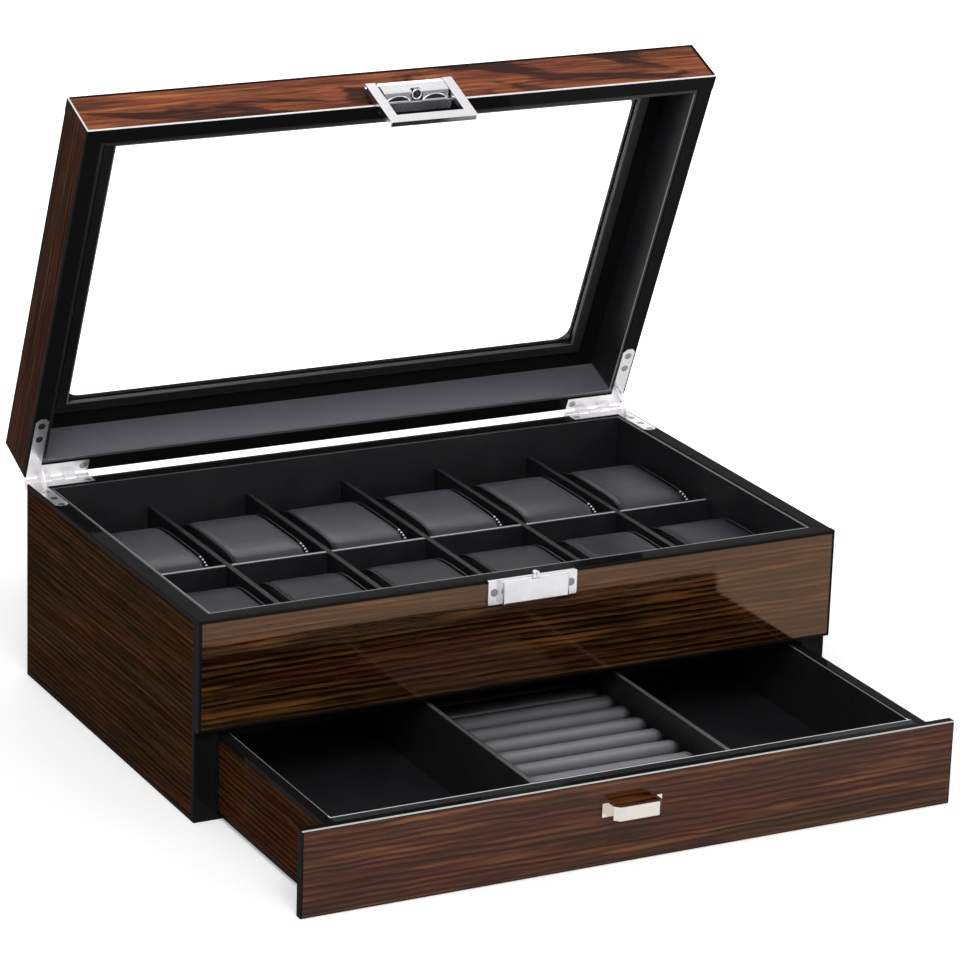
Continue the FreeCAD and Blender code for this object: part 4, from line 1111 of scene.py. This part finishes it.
def makeRolls():
    low, high = shutBox("ring_rolls")
    pitch = (high.y - low.y) / rolls["count"]
    size = Vector((high.x - low.x, pitch - rolls["gap"], high.z - low.z))
    material = softMaterial("rollPlush", **rolls["plush"])
    shadeCrevices(material, *rolls["crevices"])
    shadeValleys(material, high.z)
    for number in range(rolls["count"]):
        mesh = rollMesh(size)
        mesh.transform(Matrix.Translation((low.x, low.y + (number + 0.5) * pitch, low.z)))
        smooth(mesh, rolls["crease"])
        piece = meshObject(f"ring_roll_{number + 1}", mesh, "drawer", material, "ring_rolls")


makeRolls()
print("ring rolls made")

# floor, light and camera

studio = {
    "floorSize": 12.0,
    "floorClouds": {"scale": 3.0, "detail": 2.0, "colours": ((0.8514, 0.8514, 0.8514), (0.86, 0.86, 0.86))},
    # the floor glows more from near the box to further out, so that the page is white
    "glowFrom": 0.25,
    "glowTo": 0.60,
    "glowNear": 0.32,
    "glowMirrored": 0.12,
    "worldStrength": 0.42,
    "seenStrength": 1.0,
    "lampsAim": (0, -0.03, 0.08),
    "lamps": {
        "keyPanel": {"at": (-0.7, -1.6, 1.8), "size": (1.4, 1.0), "power": 34.0},
        "sidePanel": {"at": (1.7, -0.6, 1.3), "size": (0.9, 1.2), "power": 8.0},
        "rearPanel": {"at": (0.2, 1.5, 1.7), "size": (1.6, 0.8), "power": 8.0},
    },
}


def seenRays(tree):
    # the rays of the eye, also those that pass through the window, and the mirrored ones
    path = put(tree, "LightPath").outputs
    return maths(tree, "MAXIMUM", path["Is Camera Ray"], path["Is Transmission Ray"]), path["Is Glossy Ray"]


def makeFloor():
    mesh = bpy.data.meshes.new("studioFloor")
    half = studio["floorSize"] / 2
    mesh.from_pydata([(x, y, 0) for x, y in corners((-half, half), (-half, half))], [], [(0, 1, 2, 3)])
    floor = addObject("studioFloor", mesh)
    material, tree, shader = newMaterial("paleFloor", Roughness=0.9, Specular_IOR_Level=0.1)
    place = ownPlace(tree)
    tree.links.new(clouded(tree, place, **studio["floorClouds"]), shader.inputs["Base Color"])
    seen, glossy = seenRays(tree)
    away = put(tree, "VectorMath", {0: place}, operation="LENGTH").outputs[1]
    share = span(tree, away, (studio["glowFrom"], studio["glowTo"]), (studio["glowNear"], 1.0))
    mirrored = maths(tree, "MULTIPLY", glossy, studio["glowMirrored"])
    strength = maths(tree, "MAXIMUM", maths(tree, "MULTIPLY", seen, share), mirrored)
    glow = put(tree, "Emission", {"Color": (1, 1, 1), "Strength": strength})
    both = put(tree, "AddShader", {0: shader.outputs[0], 1: glow.outputs[0]})
    tree.links.new(both.outputs[0], tree.nodes["Material Output"].inputs["Surface"])
    mesh.materials.append(material)


def makeWorld():
    world = bpy.data.worlds.new("studioRoom")
    bpy.context.scene.world = world
    world.use_nodes = True
    tree = world.node_tree
    seen = maths(tree, "MAXIMUM", *seenRays(tree))
    strength = put(tree, "Mix", {0: seen, 2: studio["worldStrength"], 3: studio["seenStrength"]}).outputs[0]
    tree.links.new(strength, tree.nodes["Background"].inputs["Strength"])
    tree.nodes["Background"].inputs["Color"].default_value = (1, 1, 1, 1)


def makeLamps():
    for name, lamp in studio["lamps"].items():
        light = bpy.data.lights.new(name, "AREA")
        light.shape = "RECTANGLE"
        light.size, light.size_y = lamp["size"]
        light.energy = lamp["power"]
        item = addObject(name, light)
        item.location = lamp["at"]
        item.rotation_euler = (Vector(studio["lampsAim"]) - item.location).to_track_quat("-Z", "Y").to_euler()


camera = {
    "aim": (0.02482, -0.00632, 0.11404),
    "azimuth": 27.937,
    "elevation": 18.436,
    "roll": 1.970,
    "distance": 2.1294,
    "lens": 161.77,
    "sensor": 36.0,
}


def makeCamera():
    data = bpy.data.cameras.new("photoCamera")
    data.lens = camera["lens"]
    data.sensor_width = camera["sensor"]
    item = addObject("photoCamera", data)
    side, up, roll = (math.radians(camera[key]) for key in ("azimuth", "elevation", "roll"))
    away = Vector((-math.sin(side) * math.cos(up), -math.cos(side) * math.cos(up), math.sin(up)))
    across = Vector((math.cos(side), -math.sin(side), 0))
    rise = away.cross(across)
    right = across * math.cos(roll) + rise * math.sin(roll)
    top = rise * math.cos(roll) - across * math.sin(roll)
    turn = Matrix((right, top, away)).transposed().to_4x4()
    item.matrix_world = Matrix.Translation(Vector(camera["aim"]) + away * camera["distance"]) @ turn
    bpy.context.scene.camera = item


makeFloor()
makeWorld()
makeLamps()
makeCamera()
bpy.context.scene.view_settings.view_transform = "Standard"
print("studio and camera set")
